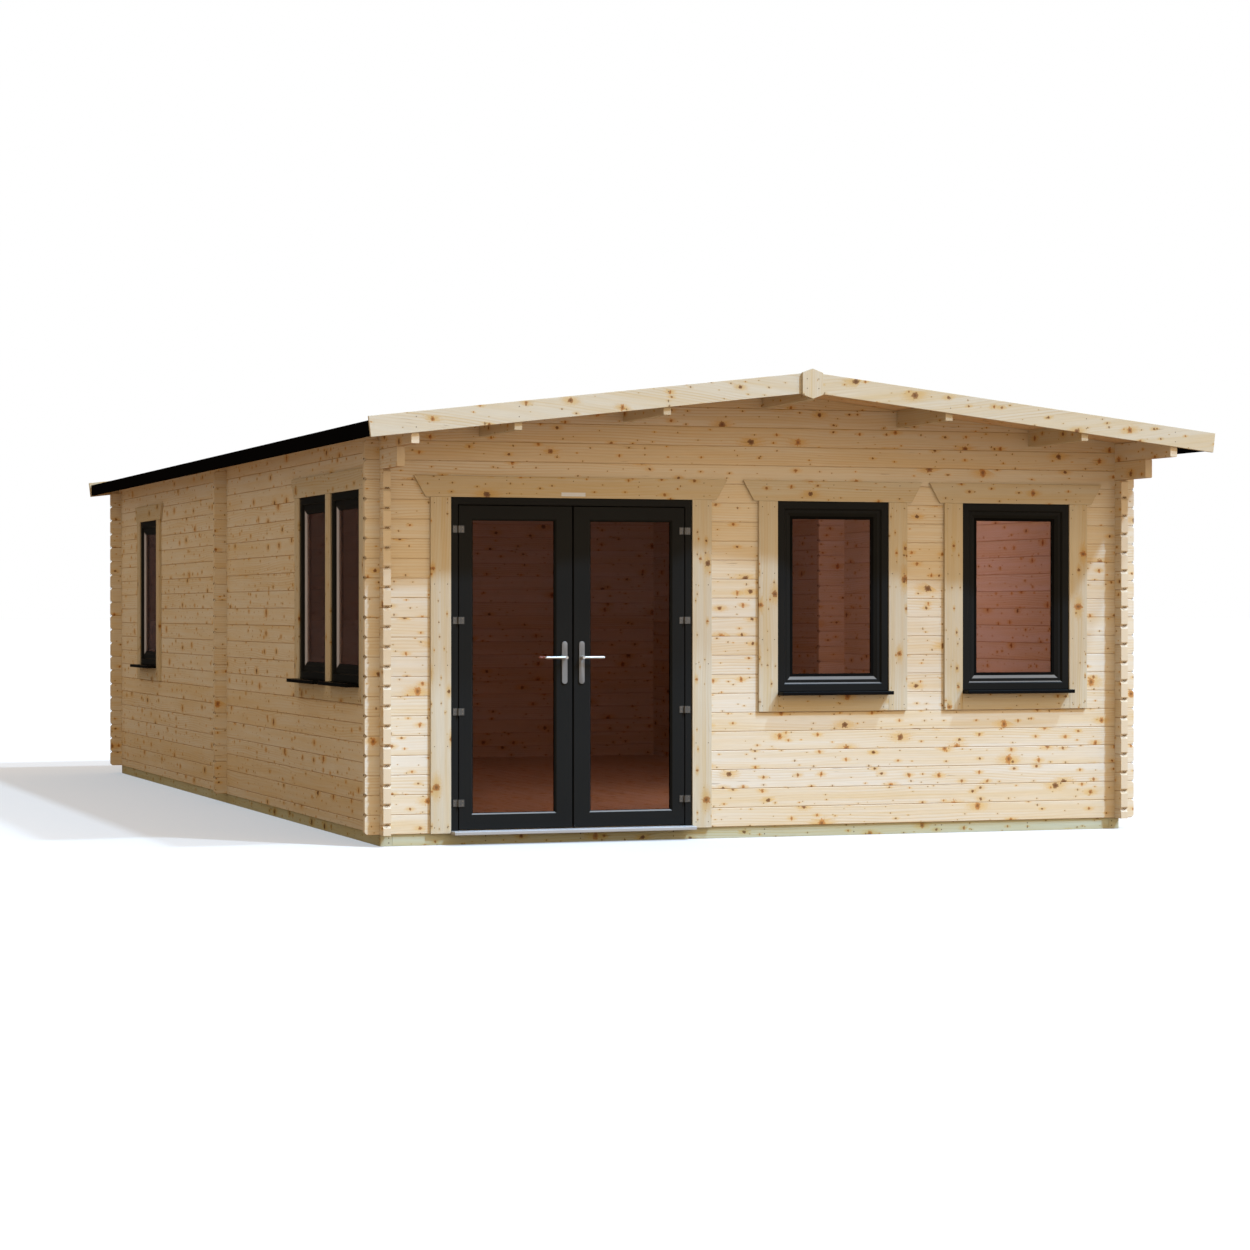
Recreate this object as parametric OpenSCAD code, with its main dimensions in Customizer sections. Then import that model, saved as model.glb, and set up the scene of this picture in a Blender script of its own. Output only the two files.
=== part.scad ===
// Log cabin with a low gable roof: interlocking log walls on a beam base,
// a glazed pair of doors, two front windows and three side windows.
// X runs across the front, +Y runs from the front to the back, +Z is up.
// The origin is on the ground, at the centre of the whole outline.

/* [Cabin] */
// Width over the outer faces of the side walls
cabin_w = 4774; // [4700:1:6600]
// Depth over the outer faces of the front and back walls
cabin_d = 8755; // [7200:1:11000]
// Height of one log course
log_h = 114; // [110:1:140]
// Thickness of the logs
log_t = 45; // [38:1:56]
// Length of the log ends past each corner
log_end = 88; // [70:1:110]
// Number of whole courses in a side wall, on top of its half log
side_courses = 20; // [20:1:22]
// Depth of the groove at each log joint
groove = 4; // [2:1:6]
// Chamfer on the edges of the log ends
end_chamfer = 15; // [5:1:18]
// Length of the mid-wall log ends inside the room
inner_end = 206; // [100:1:300]

/* [Base and floor] */
// Height of the base beams
base_h = 68; // [45:1:100]
// Width of the outer base beams
base_w = 70; // [68:1:120]
// Width of the floor joists
joist_w = 45; // [35:1:70]
// Spacing of the floor joists, at most
joist_pitch = 600; // [400:10:700]
// Set back of the base under the front and back walls
base_back = 15; // [5:1:20]
// Set back of the base under the side walls
base_side = 8; // [5:1:20]
// Thickness of the floor boards
floor_t = 19; // [16:1:28]

/* [Roof] */
// Slope of the roof in degrees
roof_pitch = 6.6; // [6:0.1:10]
// Thickness of the roof boards
roof_t = 19; // [16:1:28]
// Thickness of the felt
felt_t = 4; // [3:0.5:8]
// Overhang in front of the front wall
roof_front = 714; // [600:1:900]
// Overhang past the side walls
roof_side = 250; // [180:1:320]
// Forward reach of the lower eaves log
lower_reach = 400; // [250:1:500]
// Width of the purlins
purlin_w = 45; // [38:1:70]
// Height of the purlins
purlin_h = 100; // [80:1:120]
// Distance of the inner purlins from the ridge
inner_purlin = 880; // [700:1:1000]
// Distance of the outer purlins from the ridge
outer_purlin = 1768; // [1500:1:1900]
// Height of the bargeboards
barge_h = 118; // [100:1:150]
// Height of the bargeboards above the underside of the roof boards
barge_up = 61; // [50:1:80]
// Thickness of the bargeboards and eaves boards
barge_t = 20; // [16:1:28]
// Height of the eaves boards
eaves_h = 88; // [75:1:110]
// Drop of the eaves boards below the underside of the roof boards
eaves_drop = 48; // [30:1:60]
// Set back of the eaves boards behind the ends of the bargeboards
eaves_back = 20; // [5:1:40]
// Width of the ridge plaque
plaque_w = 128; // [100:1:160]
// Height of the ridge plaque
plaque_h = 175; // [160:1:220]

/* [Doors] */
// Centre of the doors, across the front
door_x = -1219; // [-1300:1:-1150]
// Width over the door frame
door_w = 1491; // [1350:1:1550]
// Height of the door frame
door_h = 1941; // [1850:1:1960]
// Width of the door frame's face
jamb_w = 44; // [36:1:60]
// Reach of the frames in front of the wall face
frame_out = 11; // [5:1:15]
// Thickness of a door leaf
leaf_t = 38; // [32:1:40]
// Width of the hinge stile and of the top rail
stile_w = 87; // [70:1:100]
// Width of the meeting stile
meeting_w = 108; // [85:1:120]
// Distance of the levers' spindles from the meeting line
spindle_in = 53; // [45:1:60]
// Height of the bottom rail
bottom_rail = 96; // [85:1:140]
// Clearance around the leaves
leaf_gap = 5; // [5:1:8]
// Clearance between the two leaves
meeting_gap = 10; // [10:1:14]
// Width of the stop behind the leaves
stop_w = 14; // [10:1:20]
// Thickness of the threshold's nose
threshold_h = 21; // [16:1:30]
// Reach of the threshold and the sills in front of the wall
sill_out = 100; // [60:1:120]
// Height of the lever above the log wall's foot
lever_z = 1019; // [950:1:1080]
// Length of the lever
lever_l = 132; // [110:1:150]
// Height of the lowest hinge above the log wall's foot
hinge_z = 175; // [120:1:220]
// Spacing of the hinges
hinge_pitch = 531; // [480:1:540]

/* [Windows] */
// Width over a window frame
window_w = 726; // [650:1:760]
// Height over a window frame
window_h = 1147; // [1000:1:1200]
// Foot of the front windows above the log wall's foot
window_z = 807; // [780:1:860]
// Centre of the first front window, across the front
window_x_1 = 436; // [420:1:470]
// Centre of the second front window, across the front
window_x_2 = 1655; // [1630:1:1700]
// Centre of the first side window, back from the front wall
window_y_1 = 778; // [740:1:790]
// Centre of the second side window, back from the front wall
window_y_2 = 1632; // [1600:1:1700]
// Centre of the rear side window, ahead of the back wall's outer face
window_from_back = 1388; // [1250:1:3000]
// Width of the window frame's face
window_face = 46; // [34:1:50]
// Width of the sash's face
sash_face = 61; // [38:1:75]
// Set back of the sash behind the window frame's face
sash_back = 12; // [3:1:15]
// Thickness of the glass units
glass_t = 18; // [14:1:20]
// Set back of the glass behind the face of its leaf or sash
glass_back = 12; // [8:1:14]
// Depth of the glass edge inside its frame
glass_edge = 12; // [8:1:18]
// Height of the window sills
sill_h = 22; // [16:1:30]

/* [Trim boards] */
// Width of the trim boards
trim_w = 122; // [100:1:130]
// Height of the boards under the windows
apron_w = 98; // [80:1:130]
// Thickness of the trim boards
trim_t = 20; // [14:1:24]
// Reach of the head boards past the side trims, at their foot
head_out = 30; // [20:1:32]
// Further reach of the head boards at their top
head_splay = 70; // [50:1:72]

/* [Hidden] */
$fn = 48;

seam = 0.5;        // open joint between neighbouring boards and beams of one node
roof_seat = 0.3;   // gap between the roof boards and the gables and purlins
half_w = cabin_w / 2;
barge_x = half_w + roof_side;
eaves_x = barge_x - eaves_back;
slope = tan(roof_pitch);
lowest_eaves = side_courses - 1.5;   // courses below the lower eaves log
top_course = side_courses + 0.5;     // courses below the roof
stub_course = side_courses;          // top of the log ends that lie under the roof
gable_course = side_courses - 2;     // foot of the gables

front_reach = roof_front + 2 * barge_t;
back_reach = log_end + 2 * barge_t;
front_y = (front_reach - back_reach - cabin_d) / 2;
back_y = front_y + cabin_d;
mid_y = front_y + cabin_d / 2;
front_edge = front_y - roof_front;
back_edge = back_y + log_end;

door_left = door_x - door_w / 2;
door_right = door_x + door_w / 2;
door_foot = base_h + threshold_h - 7;
door_top = door_foot + door_h;
leaf_w = (door_w - meeting_gap) / 2 - jamb_w - leaf_gap;
leaf_foot = door_foot + leaf_gap + 1;
leaf_top = door_top - jamb_w - leaf_gap;
leaf_y = front_y - frame_out;
knuckle_r = 8;
hinge_h = 41;
hinge_flap = 34;
hinge_t = 4;
pin_r = 3.5;
pin_gap = 0.1;
hinge_y = leaf_y - knuckle_r - 1;
plate_w = 33;
plate_l = 250;
plate_t = 8;
spindle_r = 6;
spindle_gap = 0.5;
neck_r = 9;
neck_l = 42;
lever_r = 8;
side_window_z = window_z + log_h / 2;
front_window_xs = [window_x_1, window_x_2];
window_y_3 = cabin_d - window_from_back;
side_window_ys = [window_y_1, window_y_2, window_y_3];
pine = "burlywood";

// Height of a number of courses above the ground.
function course(n) = base_h + n * log_h;

// Underside of the roof boards at a distance from the ridge.
function roof_z(x) = course(top_course) + slope * (half_w - abs(x));

// One edge of a stack of logs from z0 to z1, as [inset, height] points. The logs meet at
// whole courses plus the phase, and each joint is a groove of the given size.
function log_edge(z0, z1, phase, size) =
    let (first = ceil((z0 - base_h) / log_h - phase - 0.001),
         last = floor((z1 - base_h) / log_h - phase + 0.001),
         joints = [for (k = [first : 1 : last]) course(k + phase)])
    [if (len(joints) == 0 || joints[0] > z0 + 0.1) [0, z0],
     for (z = joints) each [if (z - size > z0) [0, z - size],
                            [size, z],
                            if (z + size < z1) [0, z + size]],
     if (len(joints) == 0 || joints[len(joints) - 1] < z1 - 0.1) [0, z1]];

function reversed(list) = [for (i = [len(list) - 1 : -1 : 0]) list[i]];

// Section of a stack of logs: thickness along x, height along y.
function log_section(z0, z1, phase) =
    let (edge = log_edge(z0, z1, phase, groove))
    concat([for (p = reversed(edge)) [p[0], p[1]]],
           [for (p = edge) [log_t - p[0], p[1]]]);

// Outline of a stack of logs from a to b along the wall, with chamfered log ends
// where an end is free.
function log_outline(a, b, z0, z1, phase, free_a, free_b) =
    let (edge = log_edge(z0, z1, phase, end_chamfer),
         plain = [[0, z0], [0, z1]])
    concat([for (p = reversed(free_a ? edge : plain)) [a + p[0], p[1]]],
           [for (p = free_b ? edge : plain) [b - p[0], p[1]]]);

// Turns a flat outline in x and z into a board from y0 to y1.
module board_y(y0, y1) {
    translate([0, y1, 0]) rotate([90, 0, 0]) linear_extrude(y1 - y0) children();
}

// Turns a flat outline in y and z into a board from x0 to x1.
module board_x(x0, x1) {
    translate([x0, 0, 0]) rotate([90, 0, 90]) linear_extrude(x1 - x0) children();
}

module box(x0, x1, y0, y1, z0, z1) {
    translate([x0, y0, z0]) cube([x1 - x0, y1 - y0, z1 - z0]);
}

// Logs laid across the cabin, cut to the outline given in x and z.
module cross_logs(y0, a, b, z0, z1) {
    intersection() {
        board_x(a, b) translate([y0, 0]) polygon(log_section(z0, z1, 0));
        board_y(y0, y0 + log_t) children();
    }
}

// Logs laid from front to back, cut to the outline given in y and z.
module long_logs(x0, a, b, z0, z1) {
    intersection() {
        board_y(a, b) translate([x0, 0]) polygon(log_section(z0, z1, 0.5));
        board_x(x0, x0 + log_t) children();
    }
}

module front_window_holes() {
    for (x = front_window_xs)
        translate([x - window_w / 2, base_h + window_z - sill_h]) square([window_w, window_h + sill_h]);
}

module side_window_holes() {
    for (y = side_window_ys)
        translate([front_y + y - window_w / 2, base_h + side_window_z - sill_h])
            square([window_w, window_h + sill_h]);
}

module mirror_pair() {
    children();
    mirror([1, 0, 0]) children();
}

// ---- base and floor ----

module base_frame() {
    x1 = half_w - base_side;
    y0 = front_y + base_back;
    y1 = back_y - base_back;
    bays = ceil((y1 - y0 - base_w) / joist_pitch);
    pitch = (y1 - y0 - base_w) / bays;
    inner_x = x1 - base_w - seam;
    color("darkseagreen") {
        mirror_pair() box(x1 - base_w, x1, y0, y1, 0, base_h);
        box(-inner_x, inner_x, y0, y0 + base_w, 0, base_h);
        box(-inner_x, inner_x, y1 - base_w, y1, 0, base_h);
        for (i = [1 : bays - 1])
            box(-inner_x, inner_x,
                y0 + (base_w - joist_w) / 2 + i * pitch, y0 + (base_w + joist_w) / 2 + i * pitch, 0, base_h);
    }
}

module floor() {
    x1 = half_w - log_t;
    color(pine) difference() {
        box(-x1, x1, front_y + log_t, back_y - log_t, base_h, base_h + floor_t);
        mirror_pair() translate([0, mid_y, 0])
            box(x1 - inner_end, x1 + 1, -log_t / 2, log_t / 2, base_h - 1, base_h + floor_t + 1);
    }
}

// ---- walls ----

module front_wall_left() {
    a = -half_w - log_end;
    z1 = course(gable_course);
    color(pine) cross_logs(front_y, a, door_left, base_h, z1)
        polygon(log_outline(a, door_left, base_h, z1, 0, true, false));
}

module front_wall_right() {
    b = half_w + log_end;
    z1 = course(gable_course);
    color(pine) cross_logs(front_y, door_right, b, base_h, z1)
        difference() {
            polygon(log_outline(door_right, b, base_h, z1, 0, false, true));
            front_window_holes();
        }
}

module front_wall_over_door() {
    z1 = course(gable_course);
    color(pine) cross_logs(front_y, door_left, door_right, door_top, z1)
        polygon(log_outline(door_left, door_right, door_top, z1, 0, false, false));
}

module back_wall() {
    b = half_w + log_end;
    z1 = course(gable_course);
    color(pine) cross_logs(back_y - log_t, -b, b, base_h, z1)
        polygon(log_outline(-b, b, base_h, z1, 0, true, true));
}

// Outline of a gable: log ends out to the corners, then the triangle under the roof,
// with seats for the eaves logs and the purlins.
module gable_outline() {
    b = half_w + log_end;
    x1 = half_w - log_t;
    z0 = course(stub_course);
    eaves_z = roof_z(x1) - roof_seat;
    difference() {
        union() {
            polygon(log_outline(-b, b, course(gable_course), z0, 0, true, true));
            polygon([[-x1, z0], [x1, z0], [x1, eaves_z], [0, roof_z(0) - roof_seat], [-x1, eaves_z]]);
        }
        mirror_pair() translate([half_w - log_t, course(lowest_eaves)]) square([log_t, 3 * log_h]);
        purlin_slot(0);
        mirror_pair() purlin_slot(inner_purlin);
        mirror_pair() purlin_slot(outer_purlin);
    }
}

module gable(y0) {
    b = half_w + log_end;
    color(pine) cross_logs(y0, -b, b, course(gable_course), course(top_course + 4)) gable_outline();
}

module front_gable() {
    gable(front_y);
}

module back_gable() {
    gable(back_y - log_t);
}

module side_wall(x0, a, b, windows) {
    z1 = course(lowest_eaves);
    color(pine) long_logs(x0, a, b, base_h, z1)
        difference() {
            polygon(log_outline(a, b, base_h, z1, 0.5, false, false));
            if (windows) side_window_holes();
        }
}

module left_wall_front() {
    side_wall(-half_w, front_y + log_t, mid_y - log_t / 2, true);
}

module left_wall_back() {
    side_wall(-half_w, mid_y + log_t / 2, back_y - log_t, true);
}

module right_wall_front() {
    side_wall(half_w - log_t, front_y + log_t, mid_y - log_t / 2, false);
}

module right_wall_back() {
    side_wall(half_w - log_t, mid_y + log_t / 2, back_y - log_t, false);
}

// Short cross logs that tie a long side wall at its middle.
module cross_log_ends() {
    a = -half_w - log_end;
    b = -half_w + log_t + inner_end;
    z1 = course(stub_course);
    color(pine) cross_logs(mid_y - log_t / 2, a, b, base_h, z1)
        difference() {
            polygon(log_outline(a, b, base_h, z1, 0, true, true));
            translate([-half_w, course(lowest_eaves)]) square([log_t, 3 * log_h]);
        }
}

module left_cross_log_ends() {
    cross_log_ends();
}

module right_cross_log_ends() {
    mirror([1, 0, 0]) cross_log_ends();
}

// Ends of the side wall logs that stand in front of a cross wall.
module long_log_ends(a, b, free_a) {
    z1 = course(lowest_eaves);
    color(pine) mirror_pair() long_logs(-half_w, a, b, base_h, z1)
        polygon(log_outline(a, b, base_h, z1, 0.5, free_a, !free_a));
}

module front_log_ends() {
    long_log_ends(front_y - log_end, front_y, true);
}

module back_log_ends() {
    long_log_ends(back_y, back_edge, false);
}

// The two long logs under the roof, which step forward as brackets.
module eaves_logs() {
    z0 = course(lowest_eaves);
    z1 = course(lowest_eaves + 1);
    x1 = -half_w + log_t;
    color(pine) intersection() {
        board_y(front_edge, back_edge)
            translate([-half_w, 0]) polygon(log_section(z0, roof_z(x1) + log_h, 0.5));
        board_x(-half_w, x1)
            polygon([[front_y - lower_reach, z0], [back_edge, z0], [back_edge, roof_z(x1) + 1],
                     [front_edge, roof_z(x1) + 1], [front_edge, z1], [front_y - lower_reach, z1]]);
        board_y(front_edge - 1, back_edge + 1)
            polygon([[-half_w - 1, z0 - 1], [x1 + 1, z0 - 1],
                     [x1 + 1, roof_z(x1 + 1)], [-half_w - 1, roof_z(half_w + 1)]]);
    }
}

module left_eaves_logs() {
    eaves_logs();
}

module right_eaves_logs() {
    mirror([1, 0, 0]) eaves_logs();
}

// ---- roof ----

// Outline of a purlin at a distance from the ridge, its top cut to the slope of the roof.
module purlin_outline(x) {
    a = x - purlin_w / 2;
    b = x + purlin_w / 2;
    foot = roof_z(x) - purlin_h;
    top = [for (p = x == 0 ? [b, 0, a] : [b, a]) [p, roof_z(p) - roof_seat]];
    polygon(concat([[a, foot], [b, foot]], top));
}

// Slot for a purlin in a gable, open at the top.
module purlin_slot(x) {
    translate([x - purlin_w / 2, roof_z(x) - purlin_h]) square([purlin_w, 2 * purlin_h]);
}

module ridge_purlin() {
    color(pine) board_y(front_edge, back_edge) purlin_outline(0);
}

module left_purlins() {
    color(pine) mirror([1, 0, 0]) board_y(front_edge, back_edge) {
        purlin_outline(inner_purlin);
        purlin_outline(outer_purlin);
    }
}

module right_purlins() {
    color(pine) board_y(front_edge, back_edge) {
        purlin_outline(inner_purlin);
        purlin_outline(outer_purlin);
    }
}

// A layer on the left slope, from the ridge to x, between two heights over the roof line.
module roof_layer(x, low, high) {
    ridge = roof_z(0);
    eave = roof_z(x);
    board_y(front_edge, back_edge)
        polygon([[0, ridge + low], [0, ridge + high], [-x, eave + high], [-x, eave + low]]);
}

module boards() {
    roof_layer(eaves_x - barge_t, 0, roof_t / cos(roof_pitch));
}

module felt() {
    low = roof_t / cos(roof_pitch);
    roof_layer(eaves_x - barge_t, low, low + felt_t / cos(roof_pitch));
}

module left_roof_boards() {
    color(pine) boards();
}

module right_roof_boards() {
    color(pine) mirror([1, 0, 0]) boards();
}

module left_felt() {
    color("dimgray") felt();
}

module right_felt() {
    color("dimgray") mirror([1, 0, 0]) felt();
}

module eaves_boards() {
    z0 = roof_z(eaves_x) - eaves_drop;
    color("black") mirror_pair()
        box(eaves_x - barge_t, eaves_x, front_edge, back_edge, z0, z0 + eaves_h);
}

// Outline of one sloping bargeboard, its foot cut square to the slope.
module barge_outline() {
    z1 = roof_z(barge_x) + barge_up;
    shift = barge_h * slope;
    polygon([[seam, roof_z(0) + barge_up], [barge_x, z1], [barge_x - shift, z1 - barge_h + shift * slope],
             [seam, roof_z(0) + barge_up - barge_h]]);
}

module front_bargeboards() {
    color(pine) board_y(front_edge - barge_t, front_edge) mirror_pair() barge_outline();
}

module back_bargeboards() {
    color(pine) board_y(back_edge, back_edge + barge_t) mirror_pair() barge_outline();
}

// Six-sided boards that cover the joint of the bargeboards at the ridge.
module plaque_outline() {
    half = plaque_w / 2;
    rise = half * tan(20);
    top = roof_z(0) + barge_up + barge_t;
    polygon([[0, top], [half, top - rise], [half, top - plaque_h + rise],
             [0, top - plaque_h], [-half, top - plaque_h + rise], [-half, top - rise]]);
}

module ridge_plaques() {
    color(pine) {
        board_y(front_edge - 2 * barge_t, front_edge - barge_t) plaque_outline();
        board_y(back_edge + barge_t, back_edge + 2 * barge_t) plaque_outline();
    }
}

// ---- doors ----

module door_frame() {
    stop_y = leaf_y + leaf_t + leaf_gap;
    color("black") difference() {
        box(door_left, door_right, leaf_y, front_y + log_t, door_foot, door_top);
        box(door_left + jamb_w, door_right - jamb_w, leaf_y - 1, stop_y, door_foot - 1, door_top - jamb_w);
        box(door_left + jamb_w + stop_w, door_right - jamb_w - stop_w,
            stop_y - 1, front_y + log_t + 1, door_foot - 1, door_top - jamb_w - stop_w);
    }
}

module threshold() {
    nose = door_foot - threshold_h;
    color("silver") board_x(door_left, door_right)
        polygon([[front_y - sill_out, nose], [front_y, nose], [front_y, base_h],
                 [front_y + log_t, base_h], [front_y + log_t, door_foot], [front_y - sill_out, door_foot]]);
}

// Head board of a trim, splayed at both ends, over an opening from a to b.
module head_board(a, b, z) {
    polygon([[a - trim_w - head_out, z], [b + trim_w + head_out, z],
             [b + trim_w + head_out + head_splay, z + trim_w],
             [a - trim_w - head_out - head_splay, z + trim_w]]);
}

module door_trim() {
    color(pine) board_y(front_y - trim_t, front_y) {
        translate([door_left - trim_w, base_h]) square([trim_w, door_top - base_h - seam]);
        translate([door_right, base_h]) square([trim_w, door_top - base_h - seam]);
        head_board(door_left, door_right, door_top);
    }
}

// Places its children at each hinge of the left leaf, with the pin on the z axis.
module at_hinges() {
    x = door_left + jamb_w + leaf_gap / 2;
    for (i = [0 : 3]) translate([x, hinge_y, base_h + hinge_z + i * hinge_pitch]) children();
}

// Lower half of a hinge, on the frame, with the pin.
module frame_hinge() {
    half = hinge_h / 2;
    face = knuckle_r + 1;
    translate([0, 0, -half]) cylinder(r = knuckle_r, h = half - seam);
    translate([0, 0, -half]) cylinder(r = pin_r, h = hinge_h - 2);
    box(-hinge_flap, -knuckle_r, face - hinge_t, face, -half, half);
    box(-hinge_flap, 0, face - hinge_t, face, -half, -seam);
}

// Upper half of a hinge, on the leaf, bored for the pin.
module leaf_hinge() {
    half = hinge_h / 2;
    face = knuckle_r + 1;
    difference() {
        union() {
            cylinder(r = knuckle_r, h = half);
            box(0, hinge_flap, face - hinge_t, face, 0, half);
            box(knuckle_r + 2, hinge_flap, face - hinge_t, face, -half, half);
        }
        translate([0, 0, -1]) cylinder(r = pin_r + pin_gap, h = hinge_h);
    }
}

module frame_hinges() {
    color("gray") {
        at_hinges() frame_hinge();
        translate([2 * door_x, 0, 0]) mirror([1, 0, 0]) at_hinges() frame_hinge();
    }
}

// The left leaf: a frame of stiles and rails with a groove for the glass
// and a bore for the spindle of the handle.
module leaf() {
    x0 = door_left + jamb_w + leaf_gap;
    x1 = x0 + leaf_w;
    a = x0 + stile_w;
    b = x1 - meeting_w;
    z0 = leaf_foot + bottom_rail;
    z1 = leaf_top - stile_w;
    difference() {
        box(x0, x1, leaf_y, leaf_y + leaf_t, leaf_foot, leaf_top);
        box(a, b, leaf_y - 1, leaf_y + leaf_t + 1, z0, z1);
        leaf_glass();
        at_spindle() cylinder(r = spindle_r + 2, h = 3 * leaf_t, center = true);
    }
}

module leaf_glass() {
    x0 = door_left + jamb_w + leaf_gap;
    y0 = leaf_y + glass_back;
    box(x0 + stile_w - glass_edge, x0 + leaf_w - meeting_w + glass_edge, y0, y0 + glass_t,
        leaf_foot + bottom_rail - glass_edge, leaf_top - stile_w + glass_edge);
}

// Puts its children on the axis of the left spindle, at the leaf's outer face, with their
// z axis pointing out of the door.
module at_spindle() {
    translate([door_x - spindle_in, leaf_y, base_h + lever_z])
        rotate([90, 0, 0]) children();
}

// Long plate with round ends around the spindle.
module handle_plate() {
    below = plate_l * 0.62 - plate_w / 2;
    above = plate_l * 0.38 - plate_w / 2;
    difference() {
        linear_extrude(plate_t) union() {
            translate([0, above]) circle(d = plate_w);
            translate([0, -below]) circle(d = plate_w);
            translate([-plate_w / 2, -below]) square([plate_w, above + below]);
        }
        translate([0, 0, -1]) cylinder(r = spindle_r + spindle_gap, h = plate_t + 2);
    }
}

// The outer plate, and the inner one turned to face the room.
module handle_plates() {
    at_spindle() {
        handle_plate();
        translate([0, 0, -leaf_t]) rotate([0, 180, 0]) handle_plate();
    }
}

// Spindle with a lever at each side of the leaf, pointing at the hinges.
module lever() {
    reach = plate_t + neck_l;
    at_spindle() {
        translate([0, 0, -leaf_t - reach]) cylinder(r = spindle_r, h = leaf_t + 2 * reach);
        translate([0, 0, plate_t + 1]) cylinder(r = neck_r, h = neck_l);
        translate([0, 0, -leaf_t - reach - 1]) cylinder(r = neck_r, h = neck_l);
        for (z = [reach + 1 - lever_r, -leaf_t - reach - 1 + lever_r])
            translate([0, 0, z]) {
                rotate([0, -90, 0]) cylinder(r = lever_r, h = lever_l - lever_r);
                translate([lever_r - lever_l, 0, 0]) sphere(r = lever_r);
            }
    }
}

// Copies its children to the right leaf.
module on_right_leaf() {
    translate([2 * door_x, 0, 0]) mirror([1, 0, 0]) children();
}

module left_door_leaf() {
    color("black") leaf();
}

module left_door_glass() {
    color("sienna", 0.5) leaf_glass();
}

module left_door_hinges() {
    color("gray") at_hinges() leaf_hinge();
}

module left_handle_plates() {
    color("silver") handle_plates();
}

module left_lever() {
    color("silver") lever();
}

module right_door_leaf() {
    color("black") on_right_leaf() leaf();
}

module right_door_glass() {
    color("sienna", 0.5) on_right_leaf() leaf_glass();
}

module right_door_hinges() {
    color("gray") on_right_leaf() at_hinges() leaf_hinge();
}

module right_handle_plates() {
    color("silver") on_right_leaf() handle_plates();
}

module right_lever() {
    color("silver") on_right_leaf() lever();
}

// ---- windows ----

// Places its children at each window: x along the wall from the window's centre,
// y into the wall from its outer face, z up from the window's foot.
module at_windows() {
    for (x = front_window_xs)
        translate([x, front_y, base_h + window_z]) children();
    for (y = side_window_ys)
        translate([-half_w, front_y + y, base_h + side_window_z]) rotate([0, 0, -90]) children();
}

// A rectangular ring with a face width, between two depths, inside a window outline
// that is smaller by an inset.
module window_ring(inset, face, y0, y1) {
    w = window_w / 2 - inset;
    difference() {
        box(-w, w, y0, y1, inset, window_h - inset);
        box(face - w, w - face, y0 - 1, y1 + 1, inset + face, window_h - inset - face);
    }
}

module pane() {
    inset = window_face + sash_face - glass_edge;
    w = window_w / 2 - inset;
    y0 = sash_back - frame_out + glass_back;
    box(-w, w, y0, y0 + glass_t, inset, window_h - inset);
}

module window_frames() {
    color("black") at_windows() window_ring(0, window_face, -frame_out, log_t);
}

module window_sashes() {
    color("black") at_windows() difference() {
        window_ring(window_face, sash_face, sash_back - frame_out, log_t);
        pane();
    }
}

module window_glass() {
    color("sienna", 0.5) at_windows() pane();
}

module window_sills() {
    color("black") at_windows()
        box(-window_w / 2, window_w / 2, -sill_out, log_t, -sill_h, 0);
}

// Side boards, apron and head board around one window, as outlines on the wall.
module window_trim_outline(foot) {
    for (x = [-window_w / 2 - trim_w, window_w / 2])
        translate([x, foot - apron_w]) square([trim_w, window_h - foot + apron_w - seam]);
    translate([seam - window_w / 2, foot - apron_w]) square([window_w - 2 * seam, apron_w - seam]);
    head_board(-window_w / 2, window_w / 2, window_h);
}

module front_window_trim() {
    color(pine) for (x = front_window_xs)
        translate([x, front_y, base_h + window_z])
            board_y(-trim_t, 0) window_trim_outline(-sill_h);
}

// The first two side windows share one set of boards, with a post board between them.
module side_window_trim() {
    gap = window_y_2 - window_y_1 - window_w;
    span = window_w + gap / 2;
    foot = -sill_h - apron_w;
    color(pine) translate([-half_w, front_y + window_y_3, base_h + side_window_z])
        rotate([0, 0, -90]) board_y(-trim_t, 0) window_trim_outline(-sill_h);
    color(pine) translate([-half_w, front_y + (window_y_1 + window_y_2) / 2, base_h + side_window_z])
        rotate([0, 0, -90]) board_y(-trim_t, 0) {
            translate([-span - trim_w, foot]) square([trim_w, window_h - foot - seam]);
            translate([span, foot]) square([trim_w, window_h - foot - seam]);
            translate([-gap / 2, -sill_h]) square([gap, window_h + sill_h - seam]);
            translate([seam - span, foot]) square([2 * (span - seam), apron_w - seam]);
            head_board(-span, span, window_h);
        }
}

base_frame();
floor();
front_wall_left();
front_wall_right();
front_wall_over_door();
front_gable();
back_wall();
back_gable();
left_wall_front();
left_wall_back();
right_wall_front();
right_wall_back();
left_cross_log_ends();
right_cross_log_ends();
front_log_ends();
back_log_ends();
left_eaves_logs();
right_eaves_logs();
ridge_purlin();
left_purlins();
right_purlins();
left_roof_boards();
right_roof_boards();
left_felt();
right_felt();
eaves_boards();
front_bargeboards();
back_bargeboards();
ridge_plaques();
door_frame();
threshold();
door_trim();
frame_hinges();
left_door_leaf();
left_door_glass();
left_door_hinges();
left_handle_plates();
left_lever();
right_door_leaf();
right_door_glass();
right_door_hinges();
right_handle_plates();
right_lever();
window_frames();
window_sashes();
window_glass();
window_sills();
front_window_trim();
side_window_trim();
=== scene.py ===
import math

import bmesh
import bpy
from mathutils import Matrix, Vector


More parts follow.
